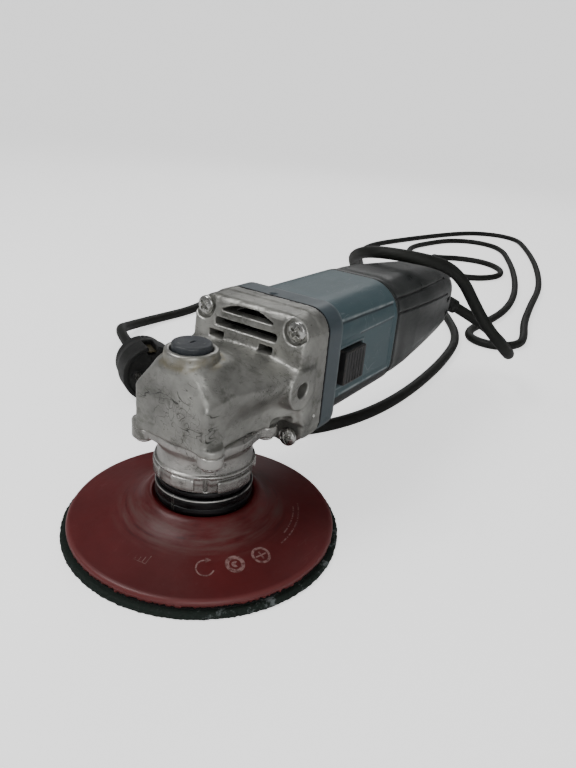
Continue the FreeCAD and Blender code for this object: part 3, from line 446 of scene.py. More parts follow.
def casting(p):
    x, y, z = p
    side = np.abs(y)
    low = np.interp(x, [-24, 4, 12, 20, 28], [19.4, 19.8, 21, 24.5, 29])
    top = np.interp(x, [-24, -9.6, 8.8, 20, 28], [19.2, 22.0, 27.6, 29.6, 30.8])
    lift = np.clip((z - 58) / 15, 0, 1)
    half = low + (top - low) * lift * lift * (3 - 2 * lift)
    share = np.clip(side / np.maximum(top, 1), 0, 1)
    roof = shoulder(x) + (crown(x) - shoulder(x)) * (1 - share ** 2)
    nose = smax(side - half, z - roof, 1.3)
    nose = smax(nose, -23.4 - x, 2.6)
    nose = smax(nose, 51.0 - z, 1.0)
    nose = np.maximum(nose, x - 34)
    # flange with rounded corners and a leaning front wall
    q = [np.maximum(side - 31 + 11, 0), np.maximum(np.abs(z - AXIS_Z) - 31.6 + 11, 0)]
    block = np.hypot(*q) - 11
    block = smax(block, vent_face(z) - x, 2.4)
    block = smax(block, x - 43.55, 0.5)
    lip = smax(np.hypot(*q) - 11.0, np.abs(x - 40.4) - 3.1, 0.8)
    body = smin(nose, smin(block + 0.5, lip, 0.8), 3.6)
    # screw ears: flat pockets open to the corner
    for sy in (-1, 1):
        for sz in (-1, 1):
            cy, cz = sy * SCREW_Y, AXIS_Z + sz * SCREW_Z
            pocket = rcyl(p, (17.6, cy, cz), 0, 5.9, 10.0, 0.8)
            out = rbox(p, (17.6, cy + sy * 4.6, cz + sz * 4.6), (10.0, 6.0, 6.0), 2.5)
            body = smax(body, -smin(pocket, out, 1.5), 0.9)
    # deck and boss round the lock button
    boss = rcyl(p, (LOCK_X, 0, 80), 2, 11.1, 8.6, 1.2)
    deck = smax(rcyl(p, (-8.5, 0, 70), 2, 15.5, 14.0, 4.5), -23.3 - x, 2.5)
    body = smin(smin(body, deck, 3.5), boss, 0.8)
    # side-handle bosses and the feet over the bearing-box screws
    for sy in (-1, 1):
        boss = rcyl(p, (HANDLE_X, sy * 26.0, AXIS_Z), 1, 9.2, 5.0, 0.9)
        body = smin(body, boss, 1.6)
        ring = rcyl(p, (HANDLE_X, sy * 27.0, AXIS_Z), 1, 7.0, 4.2, 0.5)
        body = smin(body, ring, 0.4)
        foot = rcyl(p, (-FOOT, sy * FOOT, 52.5), 2, 5.3, 1.6, 0.3)
        body = smin(body, smin(foot, rcyl(p, (FOOT, sy * FOOT, 52.5), 2, 5.3, 1.6, 0.3), 0.1), 1.2)
    # shallow dents along the nose from long use
    dents = (np.sin(x * 0.61 + 1.3) * np.sin(y * 0.53 + 0.4) * np.sin(z * 0.47)) * 0.16
    dents += (np.sin(x * 1.7 + y * 1.1) * np.sin(z * 1.5 - y * 0.7)) * 0.06
    body = body + dents
    # openings
    body = smax(body, -rcyl(p, (LOCK_X, 0, 84.5), 2, 8.75, 5.0), 0.35)
    for sy in (-1, 1):
        body = smax(body, -rcyl(p, (HANDLE_X, sy * 31.0, AXIS_Z), 1, 3.7, 10.4), 0.5)
    crescent = smax(np.abs(z - 94.9) - 1.9, np.hypot(y - 1.1, (z - 68.0)) - 29.3, 0.8)
    crescent = smax(crescent, np.abs(y - 1.1) - 14.4, 0.8)
    body = smax(body, -np.maximum(crescent, np.abs(x - 28) - 9), 0.5)
    body = smax(body, -rbox(p, (27, 1.0, 87.8), (10, 17.0, 1.75), 0.9), 0.5)
    for cy, half_y in ((16.6, 4.3), (-11.0, 3.6)):
        body = smax(body, -rbox(p, (24, cy, 82.0), (9, half_y, 1.6), 0.3), 0.3)
    body = np.maximum(body, -rcyl(p, (38.5, 0, AXIS_Z), 0, 26.8, 7.0))
    for sy in (-1, 1):
        hollow = rbox(p, (20.3, sy * 28.0, 48.8), (5.4, 6.2, 6.2), 2.4)
        body = smax(body, -hollow, 0.7)
    return body


ALLOY = cast_alloy("cast_alloy")
housing = solid("gear_housing_casting", (-24, -31.4, 36), (44, 31.4, 100.3), 0.55, casting, ALLOY)
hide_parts("gear_housing")


# ---- bearing box with bayonet lugs ----
def neck_field(p):
    x, y, z = p
    angle = np.degrees(np.arctan2(y, x)) % 360
    radius = np.hypot(x, y)
    neck = smax(radius - np.interp(z, [36, 41, 46, 51], [21.2, 20.6, 20.9, 21.6]),
                np.abs(z - 41) - 8, 0.4)
    collar = smax(radius - 21.0, np.abs(z - 32.9) - 4.1, 0.5)
    square = rbox(p, (0, 0, 48.6), (20.8, 20.8, 2.4), 1.0)
    square = smax(square, radius - 26.4, 2.0)
    body = smin(smin(neck, square, 3.0), collar, 0.3)
    for sx in (-1, 1):
        for sy in (-1, 1):
            body = smin(body, rcyl(p, (sx * FOOT, sy * FOOT, 48.4), 2, 5.3, 2.5, 0.4), 1.4)
    bead = smax(np.abs(radius - 21.4) - 0.7, np.abs(z - 36.6) - 0.7, 0.6)
    body = smin(body, bead, 0.5)
    for start, end, base, peak in ((181.5, 209, 30.6, 35.6), (235, 282, 29.4, 34.6),
                                   (122, 162, 30.2, 35.6), (310, 350, 30.0, 35.4),
                                   (35, 85, 30.0, 35.4)):
        inside = np.abs((angle - (start + end) / 2 + 180) % 360 - 180) - (end - start) / 2
        lug = smax(smax(radius - 22.6, np.abs(z - (base + peak) / 2) - (peak - base) / 2, 0.5),
                   inside * 0.37, 0.5)
        body = smin(body, lug, 0.3)
    notch = rbox(p, (21.6 * math.cos(math.radians(222)), 21.6 * math.sin(math.radians(222)), 33),
                 (2.2, 2.2, 4.4), 0.3)
    body = smax(body, -notch - 0.9, 0.3)
    return np.maximum(body, 12.6 - radius)


LUG_ALLOY = cast_alloy("lug_alloy", 1.0, (0.42, 0.41, 0.39), 0.12)
neck = solid("bearing_box_casting", (-24, -24, 28.8), (24, 24, 51), 0.42, neck_field, LUG_ALLOY)
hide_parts("bearing_box")


# ---- screws ----
def screw_field(head_r, head_h):
    def field(p):
        x, y, z = p
        head = smax(rcyl(p, (0, 0, head_h / 2), 2, head_r, head_h / 2, 0.3),
                    np.sqrt(x * x + y * y + (z + head_r * 1.25) ** 2) - head_r * 1.25 - head_h, 0.5)
        for a, b in ((x, y), (y, x)):
            arm = smax(np.abs(a) - head_r * 0.68 + (head_h - z) * 0.3, np.abs(b) - head_r * 0.17,
                       0.12)
            head = smax(head, -smax(arm, head_h * 0.30 - z, 0.2), 0.12)
        return head
    return field


def screw_material():
    m = Nodes("bright_steel", 0.25, 1.0, (0.62, 0.62, 0.60))
    rust = m.ramp(m.noise(420.0, 5.0, 0.65), 0.52, 0.70)
    base = m.mix(rust, (0.55, 0.55, 0.53), (0.12, 0.115, 0.10))
    # painted shade: the cross recess and other concave spots are darkened to near black
    deep = m.ramp(m.node("NewGeometry").outputs["Pointiness"], 0.38, 0.47, invert=True)
    m.color(m.mix(deep, base, (0.004, 0.004, 0.004)))
    m.rough(rust, 0.18, 0.5)
    m.bump(m.noise(900.0, 3.0), 0.00005)
    return m.mat


STEEL = screw_material()


def screws(name, head_r, head_h, places, node, spin=0.3):
    """One mesh of screw heads; places are (under-head point, direction the head faces)."""
    axes = [np.arange(-head_r - 0.4, head_r + 0.6, 0.17)] * 2 + [np.arange(-0.4, head_h + 0.6,
                                                                           0.17)]
    p = np.meshgrid(*axes, indexing="ij")
    one, quads = surface(screw_field(head_r, head_h)(p), [a[0] for a in axes], 0.17)
    verts, faces = [], []
    for i, (at, way) in enumerate(places):
        turn = Vector((0, 0, 1)).rotation_difference(Vector(way)).to_matrix()
        turn = np.array(turn @ Matrix.Rotation(spin + 0.7 * i, 3, "Z"))
        faces += [[k + len(verts) for k in q] for q in quads]
        verts += (one @ turn.T + np.array(at)).tolist()
    obj = mesh(name, verts, faces, STEEL)
    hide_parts(node)


CORNERS = [(sy, sz) for sy in (-1, 1) for sz in (-1, 1)]
screws("gear_housing_screw_heads", 4.3, 3.0,
       [((27.6, sy * SCREW_Y, AXIS_Z + sz * SCREW_Z), (-1, 0, 0)) for sy, sz in CORNERS],
       "gear_housing_screws")
screws("bearing_box_screw_heads", 3.75, 2.6,
       [((sx * FOOT, sy * FOOT, 45.9), (0, 0, -1)) for sx, sy in CORNERS], "bearing_box_screws")
screws("rear_cover_screw_heads", 2.9, 1.9, [((129, s * 9, 38.2), (0, 0, -1)) for s in (-1, 1)],
       "rear_cover_screws")


# ---- motor housing and rear cover: swept rings with steps, panel and grooves ----
def squircle(angle, half_y, half_z, corner):
    """Point of a rounded rectangle in the direction of angle."""
    c, s = np.cos(angle), np.sin(angle)
    low, high = np.zeros_like(angle), np.full_like(angle, 60.0)
    for _ in range(24):
        r = (low + high) / 2
        qy, qz = np.abs(r * c) - half_y + corner, np.abs(r * s) - half_z + corner
        d = (np.hypot(np.maximum(qy, 0), np.maximum(qz, 0))
             + np.minimum(np.maximum(qy, qz), 0) - corner)
        low, high = np.where(d < 0, r, low), np.where(d < 0, high, r)
    return low


def band(v, a, b, soft=0.35):
    """1 between a and b, easing to 0 outside."""
    up = np.clip((v - a) / soft + 0.5, 0, 1)
    down = np.clip((b - v) / soft + 0.5, 0, 1)
    return np.minimum(up, down)


def hull(name, xs, section, relief, material, columns=300):
    """Closed skin through rings of points; relief(x, y, z) gives depth, ridge, line and under; under
    marks the painted underside shade.
    """
    angle = np.linspace(0, 2 * math.pi, columns, endpoint=False) + 0.001
    rows, marks = [], []
    for x in xs:
        half_y, half_z, corner = section(x)
        r = squircle(angle, half_y, half_z, corner)
        y, z = r * np.cos(angle), AXIS_Z + r * np.sin(angle)
        depth, ridge, line, under = relief(np.full_like(y, x), y, z)
        shift = 1 - depth / r
        rows.append(np.stack([np.full_like(y, x), y * shift, AXIS_Z + (z - AXIS_Z) * shift], 1))
        marks.append(np.stack([ridge, line, under], 1))
    verts, marks = np.concatenate(rows), np.concatenate(marks)
    faces = grid_faces(len(xs), columns)
    first = list(range(columns))
    faces += [first[::-1], [(len(xs) - 1) * columns + j for j in first]]
    obj = mesh(name, verts, faces, material)
    for i, key in enumerate(("ridge", "line", "under")):
        attribute(obj, key, marks[:, i])
    return obj


def flange_section(x):
    drop = np.interp(x, [43.7, 44.3, 55.8, 57.2], [0.5, 0, 0, 1.4])
    return 31 - drop, 31.6 - drop, 11.5 - drop * 0.5


def barrel_section(x):
    return (np.interp(x, [57, 62, 118, 120.5], [28.4, 28.7, 29.5, 29.2]),
            np.interp(x, [57, 62, 118, 120.5], [29.4, 29.9, 30.2, 29.9]),
            np.interp(x, [57, 120], [17, 19]))


def barrel_relief(x, y, z):
    near = (y < -8) | (y > 8)
    side = np.where(near, 1.0, 0.0) * np.where(np.abs(y) > 18, 1.0, 0.0)
    left = np.where(y < -15, 1.0, 0.0)
    # two long steps that fall away towards the rear, and the lower edge of the side panel
    z1 = 90.6 - (x - 57) * 0.012
    z2 = 82.0 + (x - 78) * 0.02
    step1 = band(z, z1 - 0.9, z1, 0.3) * band(x, 60, 117, 1.0) * side
    panel = band(z, 53.6, z1 - 0.9, 0.5) * band(x, 60.5, 117, 1.0) * side
    step2 = band(z, z2 - 0.7, z2, 0.3) * band(x, 79, 116, 1.0) * side
    inner = band(z, 54.6, z2 - 0.7, 0.5) * band(x, 57.5, 115.5, 0.8) * side
    low = band(z, 52.4, 53.4, 0.3) * band(x, 64, 116, 1.0) * side
    window = band(x, 57.6, 82.6, 0.4) * band(z, 57.6, 76.8, 0.4) * left
    frame_lip = band(x, 56.5, 84.2, 0.4) * band(z, 56.0, 78.2, 0.4) * left - window
    depth = panel * 0.55 + inner * 0.45 + window * 2.2 - frame_lip * 0.55 + low * 0.2
    depth = depth + band(x, 119.2, 121, 0.5) * 0.7
    ridge = np.clip(step1 * 1.0 + step2 * 0.9 + low + frame_lip * 0.35, 0, 1)
    # line: dark step edges and seam; the switch window added here is painted shade in the opening
    # round the knob
    line = np.clip(band(z, z1 - 1.7, z1 - 0.9, 0.3) * band(x, 62, 116, 1.0) * side * 0.75
                   + band(z, z2 - 1.3, z2 - 0.7, 0.3) * band(x, 80, 115, 1.0) * side * 0.6
                   + window + band(x, 119.3, 121, 0.5), 0, 1)
    # painted shade: the casing below the side panel is darkened as underside
    under = band(z, 20, 52.2, 0.6) * band(x, 57, 121, 0.5)
    return depth, ridge, line, under


def flange_relief(x, y, z):
    zero = np.zeros_like(y)
    worn = band(x, 54.6, 56.2, 0.8) * 0.5
    pit = np.exp(-(((x - 47) ** 2 + (y - 3) ** 2) / 2.2)) * (z > 90)
    return pit * 1.2, zero + worn, band(x, 43.0, 44.5, 0.3) + pit * 0.8, zero


TEAL = moulded("housing_plastic", (0.062, 0.105, 0.120), (0.23, 0.26, 0.27), (0.005, 0.006, 0.006))
BLUE_GREY = moulded("flange_plastic", (0.062, 0.084, 0.098), (0.17, 0.19, 0.195),
                    (0.004, 0.004, 0.005))
CHARCOAL = moulded("cover_plastic", (0.020, 0.023, 0.023), (0.075, 0.080, 0.076),
                   (0.003, 0.003, 0.003), 0.36)
flange_x = [43.7, 43.9, 44.2, 44.5] + list(np.arange(45, 55, 0.5)) + [55.0, 55.4, 55.8, 56.2, 56.6,
                                                                      57.0]
collar = hull("motor_flange", flange_x, flange_section, flange_relief, BLUE_GREY)
barrel_x = [56.8] + list(np.arange(57.2, 84.6, 0.35)) + list(np.arange(85, 114, 1.0)) \
    + list(np.arange(114, 120.6, 0.3))
motor = hull("motor_barrel", barrel_x, barrel_section, barrel_relief, TEAL, columns=460)
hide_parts("motor_housing")


def cover_section(x):
    y = np.interp(x, [120, 122, 150, 185, 205, 218, 225, 227.9],
                  [29.0, 29.6, 28.4, 25.6, 23.6, 22.0, 20.4, 16.5])
    z = np.interp(x, [120, 122, 150, 185, 205, 218, 225, 227.9],
                  [29.8, 30.2, 29.0, 26.0, 24.2, 22.6, 21.0, 17.2])
    return y, z, min(y, z) * np.interp(x, [120, 170, 228], [0.64, 0.66, 0.74])


def cover_relief(x, y, z):
    side = np.where(np.abs(y) > 12, 1.0, 0.0)
    back = np.where(np.abs(y) > 9, 1.0, 0.0)
    upper = 90.2 - (x - 120) * 0.045
    lower = 83.0 - (x - 120) * 0.075
    base = 54.2 + (x - 120) * 0.02
    groove = (band(z, upper - 0.55, upper + 0.55, 0.35) * band(x, 121, 208, 1.0)
              + band(z, lower - 0.5, lower + 0.5, 0.35) * band(x, 121, 210, 1.0)) * side
    waist = np.exp(-((x - 126 - (z - AXIS_Z) ** 2 * 0.004) / 5.0) ** 2) * 0.5
    bulge = -0.5 * band(z, base, lower, 6) * band(x, 140, 205, 20) * side
    # painted shade: the vent slots are shallow dents painted dark through line, for the shade inside
    # the openings
    slots = (band(z, 70.1, 72.9, 0.3) + band(z, 60.7, 63.5, 0.3)) * band(x, 211.5, 218, 0.4) * back
    # painted shade: the lower part of the cover is darkened as underside
    under = band(z, 20, base, 4.0) * 0.6
    depth = groove * 0.8 + waist + bulge + slots * 3.0 + band(x, 119, 120.6, 0.4) * 0.9
    ridge = (band(z, upper + 0.6, upper + 1.5, 0.5) + band(z, lower + 0.5, lower + 1.2, 0.5)) \
        * band(x, 122, 200, 1.0) * side * 0.4
    line = np.clip(groove + slots + band(x, 119, 120.5, 0.3), 0, 1)
    return depth, ridge, line, under


cover_x = [120.5, 120.8, 121.1, 121.5] + list(np.arange(122, 208, 1.0)) + list(np.arange(208, 220,
                                                                                         0.4)) \
    + list(np.arange(220, 227.9, 0.6)) + [227.9]
cover = hull("rear_cover_shell", cover_x, cover_section, cover_relief, CHARCOAL, columns=400)
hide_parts("rear_cover")


# ---- slide switch ----
def knob_field(p):
    x, y, z = p
    body = rbox(p, (72.25, -29.0, 67.25), (9.7, 2.4, 8.7), 0.9)
    slope = smax(body, -(y + 31.2 + (x - 62) * 0.02), 0.3)
    for i in range(6):
        groove = rcyl(p, (64.9 + 2.75 * i, -31.9, 67.25), 2, 1.0, 7.6, 0.3)
        slope = smax(slope, -groove, 0.25)
    return slope


def switch_material():
    m = Nodes("black_plastic", 0.4, 0.0, (0.012, 0.012, 0.013))
    edge = m.math("MULTIPLY", m.edges(0.51, 0.58), m.ramp(m.noise(500.0, 3.0), 0.35, 0.6))
    base = m.mix(m.ramp(m.noise(120.0, 4.0), 0.4, 0.7), (0.008, 0.008, 0.009),
                 (0.020, 0.020, 0.020))
    m.color(m.mix(edge, base, (0.14, 0.115, 0.09)))
    m.rough(m.noise(300.0, 3.0), 0.3, 0.6)
    m.bump(m.noise(1800.0, 2.0), 0.00003)
    return m.mat


BLACK = switch_material()
knob = solid("switch_slider_cap", (62.4, -31.6, 58.3), (82.1, -26.4, 76.2), 0.28, knob_field, BLACK,
             "switch_slider")
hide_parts("switch_knob")


# ---- spindle flange, clamp collar, lock button ----
def blackened(name, line=None):
    """Blackened steel; line is the height in metres of a bright worn ring."""
    m = Nodes(name, 0.34, 0.6, (0.012, 0.012, 0.013))
    edge = m.math("MULTIPLY", m.edges(0.525, 0.575), m.ramp(m.noise(300.0, 3.0), 0.25, 0.5))
    cloud = m.ramp(m.noise(80.0, 5.0, 0.6, m.scaled((1, 1, 6))), 0.4, 0.75)
    base = m.mix(edge, m.mix(cloud, (0.008, 0.008, 0.009), (0.030, 0.030, 0.031)),
                 (0.42, 0.41, 0.38))
    if line:
        height = m.node("SeparateXYZ", {0: m.coords}).outputs[2]
        near = m.math("ABSOLUTE", m.math("SUBTRACT", height, line))
        worn = m.math("MULTIPLY", m.ramp(near, 0.00010, 0.00032, invert=True),
                      m.ramp(m.noise(90.0), 0.3, 0.5))
        base = m.mix(worn, base, (0.46, 0.45, 0.43))
    m.color(base)
    m.rough(cloud, 0.26, 0.5)
    m.bump(m.noise(1200.0, 2.0, where=m.scaled((1, 1, 8))), 0.00002)
    return m.mat


BLACKENED = blackened("black_steel")
top_ring = lathe("spindle_flange_ring", rounded(
    [(7.1, 25.7), (19.9, 25.7), (20.5, 26.2), (20.5, 27.9), (20.0, 28.35), (14.0, 28.35),
     (10.1, 28.35)], 0.3),
    BLACKENED, "spindle", 200)
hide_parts("spindle_flange")


def split(a, r, z):
    gap = abs((math.degrees(a) - SPLIT_ANGLE + 180) % 360 - 180)
    return -0.7 if gap < 0.8 and r > 20 and 18.2 < z < 25.4 else 0.0


SPLIT_ANGLE = 184.0
low_ring = lathe("clamp_collar_ring", rounded(
    [(7.1, 17.95), (21.2, 17.95), (21.7, 18.4), (21.7, 20.9), (21.45, 21.05), (21.45, 21.35),
     (21.7, 21.5),
     (21.7, 24.9), (21.1, 25.55), (14, 25.6), (7.1, 25.6)], 0.25),
     blackened("collar_steel", 25.0 * MM), "spindle", 450, split)
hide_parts("clamp_collar")


def button_field(p):
    x, y, z = p
    cap = rcyl(p, (LOCK_X, 0, 87.6), 2, LOCK_R, 3.4, 0.9)
    dish = np.sqrt((x - LOCK_X) ** 2 + y * y + (z - 131) ** 2) - 40.35
    cap = smax(cap, -dish, 0.4)
    slot = rbox(p, (-9.4, 0.4, 91.0), (1.6, 0.55, 1.0), 0.3)
    recess = rcyl(p, (SPRING_X, 0, 84), 2, 4.3, 4.4)
    return np.maximum(smax(cap, -slot, 0.2), -recess)


def button_material():
    m = Nodes("button_plastic", 0.5, 0.0, (0.030, 0.036, 0.044))
    edge = m.math("MULTIPLY", m.edges(0.51, 0.57), m.ramp(m.noise(500.0, 3.0), 0.3, 0.6))
    cloud = m.ramp(m.noise(240.0, 5.0, 0.65), 0.42, 0.7)
    m.color(m.mix(edge, m.mix(cloud, (0.022, 0.027, 0.034), (0.050, 0.056, 0.064)),
                  (0.15, 0.15, 0.14)))
    m.rough(cloud, 0.38, 0.62)
    m.bump(m.noise(1600.0, 3.0), 0.00004)
    return m.mat


button = solid("lock_button_cap", (-19, -8.4, 84), (-2.2, 8.4, 91.2), 0.3, button_field,
               button_material(),
               "lock_plunger")
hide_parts("lock_button")


# ---- backing pad: ragged rim, worn hub and pale printed signs ----
PAD_PROFILE = [(7.2, 3.05), (58.0, 3.05), (59.0, 3.1), (59.7, 3.7), (59.85, 4.6), (59.8, 5.6),
               (59.4, 6.3), (58.7, 6.75), (57.4, 7.0), (54, 7.55), (50, 8.25), (46, 9.05),
               (42, 9.95), (38, 10.9), (34.5, 12.0), (31.5, 13.25), (29.2, 14.7), (27.6, 16.3),
               (26.3, 17.6), (25.3, 18.4), (24.3, 18.75), (23.3, 18.75), (22.7, 18.45),
               (22.45, 17.6), (22.4, 16.9), (7.2, 16.9)]
ragged = [rng.normal(0, 1, 720) for _ in range(2)]
ragged = [np.convolve(np.tile(v, 3), np.ones(k) / k ** 0.5, "same")[720:1440]
          for v, k in zip(ragged, (2, 7))]


def rag(a, r, z):
    """Torn lower lip: strong at the bottom of the rim, gone by its top edge."""
    j = int(round(a / (2 * math.pi) * 720)) % 720
    front = 0.55 + 0.45 * math.cos(a - math.radians(238))
    share = max(0.0, 1 - abs(z - 3.4) / 1.3) if r > 57 else 0.0
    return share * (0.38 * ragged[0][j] * front + 0.22 * ragged[1][j]) - 0.25 * share


def polar_cloud(m, radial, around, detail=4.0):
    """Noise drawn out round the spindle axis."""
    part = m.node("SeparateXYZ", {0: m.coords}).outputs
    r = m.math("SQRT", m.math("ADD", m.math("MULTIPLY", part[0], part[0]),
                              m.math("MULTIPLY", part[1], part[1])))
    cx, cy = m.math("DIVIDE", part[0], r), m.math("DIVIDE", part[1], r)
    where = m.node("CombineXYZ", {0: m.math("MULTIPLY", r, radial),
                                  1: m.math("MULTIPLY", cx, around),
                                  2: m.math("MULTIPLY", cy, around)}).outputs[0]
    return r, m.noise(1.0, detail, 0.6, where)


def pad_material():
    m = Nodes("pad_rubber", 0.42, 0.0, (0.10, 0.012, 0.014), 0.4)
    r, swirl = polar_cloud(m, 420.0, 1.6)
    cloud = m.noise(26.0, 5.0, 0.6)
    base = m.mix(m.ramp(cloud, 0.35, 0.7), (0.075, 0.0055, 0.0060), (0.115, 0.0085, 0.0095))
    zone = m.math("MULTIPLY", m.ramp(r, 0.0235, 0.028), m.ramp(r, 0.0345, 0.042, invert=True))
    rubbed = m.math("MULTIPLY", zone, m.ramp(swirl, 0.42, 0.66))
    base = m.mix(m.math("MULTIPLY", rubbed, 0.75), base, (0.105, 0.052, 0.046))
    dark = m.math("MULTIPLY", zone, m.ramp(swirl, 0.30, 0.44, invert=True))
    base = m.mix(m.math("MULTIPLY", dark, 0.6), base, (0.016, 0.004, 0.004))
    rim = m.ramp(r, 0.0578, 0.0592)
    base = m.mix(m.math("MULTIPLY", rim, 0.8), base, (0.155, 0.036, 0.036))
    specks = m.ramp(m.noise(700.0, 3.0, 0.7), 0.66, 0.74)
    base = m.mix(m.math("MULTIPLY", specks, 0.2), base, (0.13, 0.06, 0.055))
    lines = m.scratches(60.0, (1, 5, 1), (0.0, 0.0, 0.8), 0.012)
    base = m.mix(m.math("MULTIPLY", lines, 0.3), base, (0.15, 0.05, 0.05))
    m.color(base)
    m.rough(m.math("ADD", m.math("MULTIPLY", cloud, 0.7), m.math("MULTIPLY", rubbed, 0.4)),
            0.30, 0.62)
    m.bump(m.noise(180.0, 4.0), 0.00010)
    m.bump(swirl, 0.00006)
    return m.mat


pad = lathe("backing_pad_moulding", PAD_PROFILE, pad_material(), "spindle", 720, rag)
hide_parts("backing_pad")


def print_material():
    m = Nodes("pad_print", 0.55, 0.0, (0.26, 0.15, 0.14))
    worn = m.ramp(m.noise(520.0, 4.0, 0.7), 0.40, 0.56)
    m.color(m.mix(worn, (0.10, 0.028, 0.026), (0.25, 0.14, 0.13)))
    m.rough(worn, 0.45, 0.65)
    m.bump(m.noise(1400.0, 2.0), 0.00002)
    return m.mat


def ring_sector(radius, width, start, end, steps):
    """Thin curved band in a flat (across, towards the spindle) drawing."""
    quads = []
    for i in range(steps):
        a, b = (math.radians(start + (end - start) * k / steps) for k in (i, i + 1))
        quads.append([(rr * math.cos(t), rr * math.sin(t))
                      for rr, t in ((radius, a), (radius + width, a),
                                    (radius + width, b), (radius, b))])
    return quads


def bar(x0, y0, x1, y1):
    return [[(x0, y0), (x1, y0), (x1, y1), (x0, y1)]]


def signs():
    """(angle in degrees, distance from the spindle, flat drawing) of each sign."""
    arrow = ring_sector(3.3, 0.65, 75, 340, 22) + [[(0.2, 2.4), (0.2, 5.0), (2.6, 3.6)]]
    plate = ring_sector(3.0, 1.1, 0, 360, 28) + bar(-2.6, -0.35, 2.6, 0.35) + bar(-0.4, -1.9, 0.4,
                                                                                  1.9)
    gauge = bar(-3.2, -2.0, 2.8, -1.75) + bar(-3.0, -1.6, -2.7, -0.8) + bar(-1.2, -1.6, -0.9, 0.2) \
        + bar(0.6, -1.6, 0.9, 1.2) + bar(2.3, -1.6, 2.6, 2.2)
    tracks = []
    for row, (radius, count, start) in enumerate(((43.6, 15, -89), (41.2, 10, -80))):
        for i in range(count):
            length = 1.5 + 0.9 * math.sin(i * 2.1 + row)
            tracks.append((start + i * 2.9, radius, bar(-length / 2, -0.3, length / 2, 0.3)))
    return [(-137.7, 44.0, arrow), (-121.8, 43.8, ring_sector(2.4, 1.7, 0, 360, 28)),
            (-121.8, 43.8, ring_sector(0.3, 1.2, 40, 300, 14)), (-105.8, 43.5, plate),
            (-171.0, 44.5, gauge)] + tracks


def draw_signs():
    verts, faces = [], []
    for angle, distance, drawing in signs():
        for quad in drawing:
            face = []
            for across, inward in quad:
                r = distance - inward
                a = math.radians(angle) + across / r
                height = np.interp(-r, [-p[0] for p in PAD_PROFILE[7:22]],
                                   [p[1] for p in PAD_PROFILE[7:22]])
                face.append(len(verts))
                verts.append((r * math.cos(a), r * math.sin(a), height + 0.06))
            faces.append(face)
    obj = mesh("pad_signs", verts, faces, print_material(), "spindle", False)


draw_signs()


def abrasive_material():
    m = Nodes("abrasive", 0.8, 0.0, (0.010, 0.015, 0.013), 0.3)
    r, swirl = polar_cloud(m, 300.0, 14.0, 5.0)
    grit = m.ramp(m.noise(1400.0, 3.0, 0.7), 0.4, 0.65)
    base = m.mix(grit, (0.004, 0.009, 0.006), (0.012, 0.021, 0.016))
    side = m.ramp(m.node("SeparateXYZ", {0: m.coords}).outputs[1], -0.02, -0.05)
    flecks = m.math("MULTIPLY", m.ramp(m.noise(150.0, 5.0, 0.75), 0.53, 0.62), side)
    base = m.mix(m.math("MULTIPLY", flecks, 0.8), base, (0.16, 0.18, 0.18))
    m.color(base)
    m.rough(grit, 0.6, 0.95)
    m.bump(m.noise(900.0, 4.0, 0.7), 0.00025)
    return m.mat


def frayed(a, r, z):
    if r < 60:
        return 0.0
    j = int(round(a / (2 * math.pi) * 720)) % 720
    return -0.12 + 0.10 * ragged[1][(j * 3) % 720] * (0.4 if z < 0.3 else 1.0)


disc = lathe("abrasive_disc_cloth", [(0.01, 0.0), (61.9, 0.0), (62.4, 0.35), (62.35, 1.1),
                                     (62.45, 1.9), (61.9, 2.5),
                                     (60.6, 2.6), (0.01, 2.6)], abrasive_material(), "spindle", 720,
                                     frayed)
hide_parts("abrasive_disc")


# ---- cord guard and plug ----
def sweep(name, path, radii, material, segments=40):
    """Tube of changing radius along a path."""
    path = [Vector(p) for p in path]
    verts = []
    for i, (at, radius) in enumerate(zip(path, radii)):
        way = (path[min(i + 1, len(path) - 1)] - path[max(i - 1, 0)]).normalized()
        side = way.cross(Vector((0, 0, 1))).normalized()
        up = side.cross(way)
        for j in range(segments):
            a = 2 * math.pi * j / segments
            verts.append(at + side * radius * math.cos(a) + up * radius * math.sin(a))
    faces = grid_faces(len(path), segments)
    faces += [list(range(segments))[::-1], [len(verts) - segments + j for j in range(segments)]]
    return mesh(name, [tuple(v) for v in verts], faces, material)


def rubber(name, color, dust=(0.10, 0.10, 0.095), rough=0.55):
    m = Nodes(name, rough, 0.0, color, 0.35)
    cloud = m.noise(60.0, 5.0, 0.6)
    smear = m.ramp(m.noise(140.0, 5.0, 0.7, distortion=0.5), 0.50, 0.75)
    base = m.mix(m.ramp(cloud, 0.35, 0.7), tuple(c * 0.7 for c in color),
                 tuple(c * 1.3 for c in color))
    base = m.mix(m.math("MULTIPLY", smear, 0.35), base, dust)
    m.color(m.mix(m.math("MULTIPLY", m.scratches(90.0, (1, 4, 1), (0.3, 0.2, 0.7), 0.014), 0.5),
                  base, dust))
    m.rough(cloud, rough - 0.15, rough + 0.15)
    m.bump(m.noise(900.0, 3.0), 0.00005)
    return m.mat


PLUG_RUBBER = rubber("plug_rubber", (0.010, 0.0105, 0.010), (0.05, 0.05, 0.047))
steps = np.linspace(0, 1, 64)
root, bend, tip = (Vector(v) for v in ((227.2, 0, 64), (246.3, 0, 64), (257.2, -14.2, 55.9)))
guard_path = [root * (1 - t) ** 2 + bend * 2 * t * (1 - t) + tip * t * t for t in steps]
guard_radii = [7.4 - 2.4 * t - (0.55 if 0.16 < t < 0.9 and (t * 12) % 1 > 0.62 else 0)
               for t in steps]
guard = sweep("cord_guard_sleeve", guard_path, guard_radii, PLUG_RUBBER)
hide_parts("cord_guard")

PLUG_WAY = Vector((-0.4617, -0.8870, 0)).normalized()
PLUG_SIDE = Vector((0, 0, 1)).cross(PLUG_WAY)
PLUG_FACE = Vector((75.4, 108.8, 18.5))


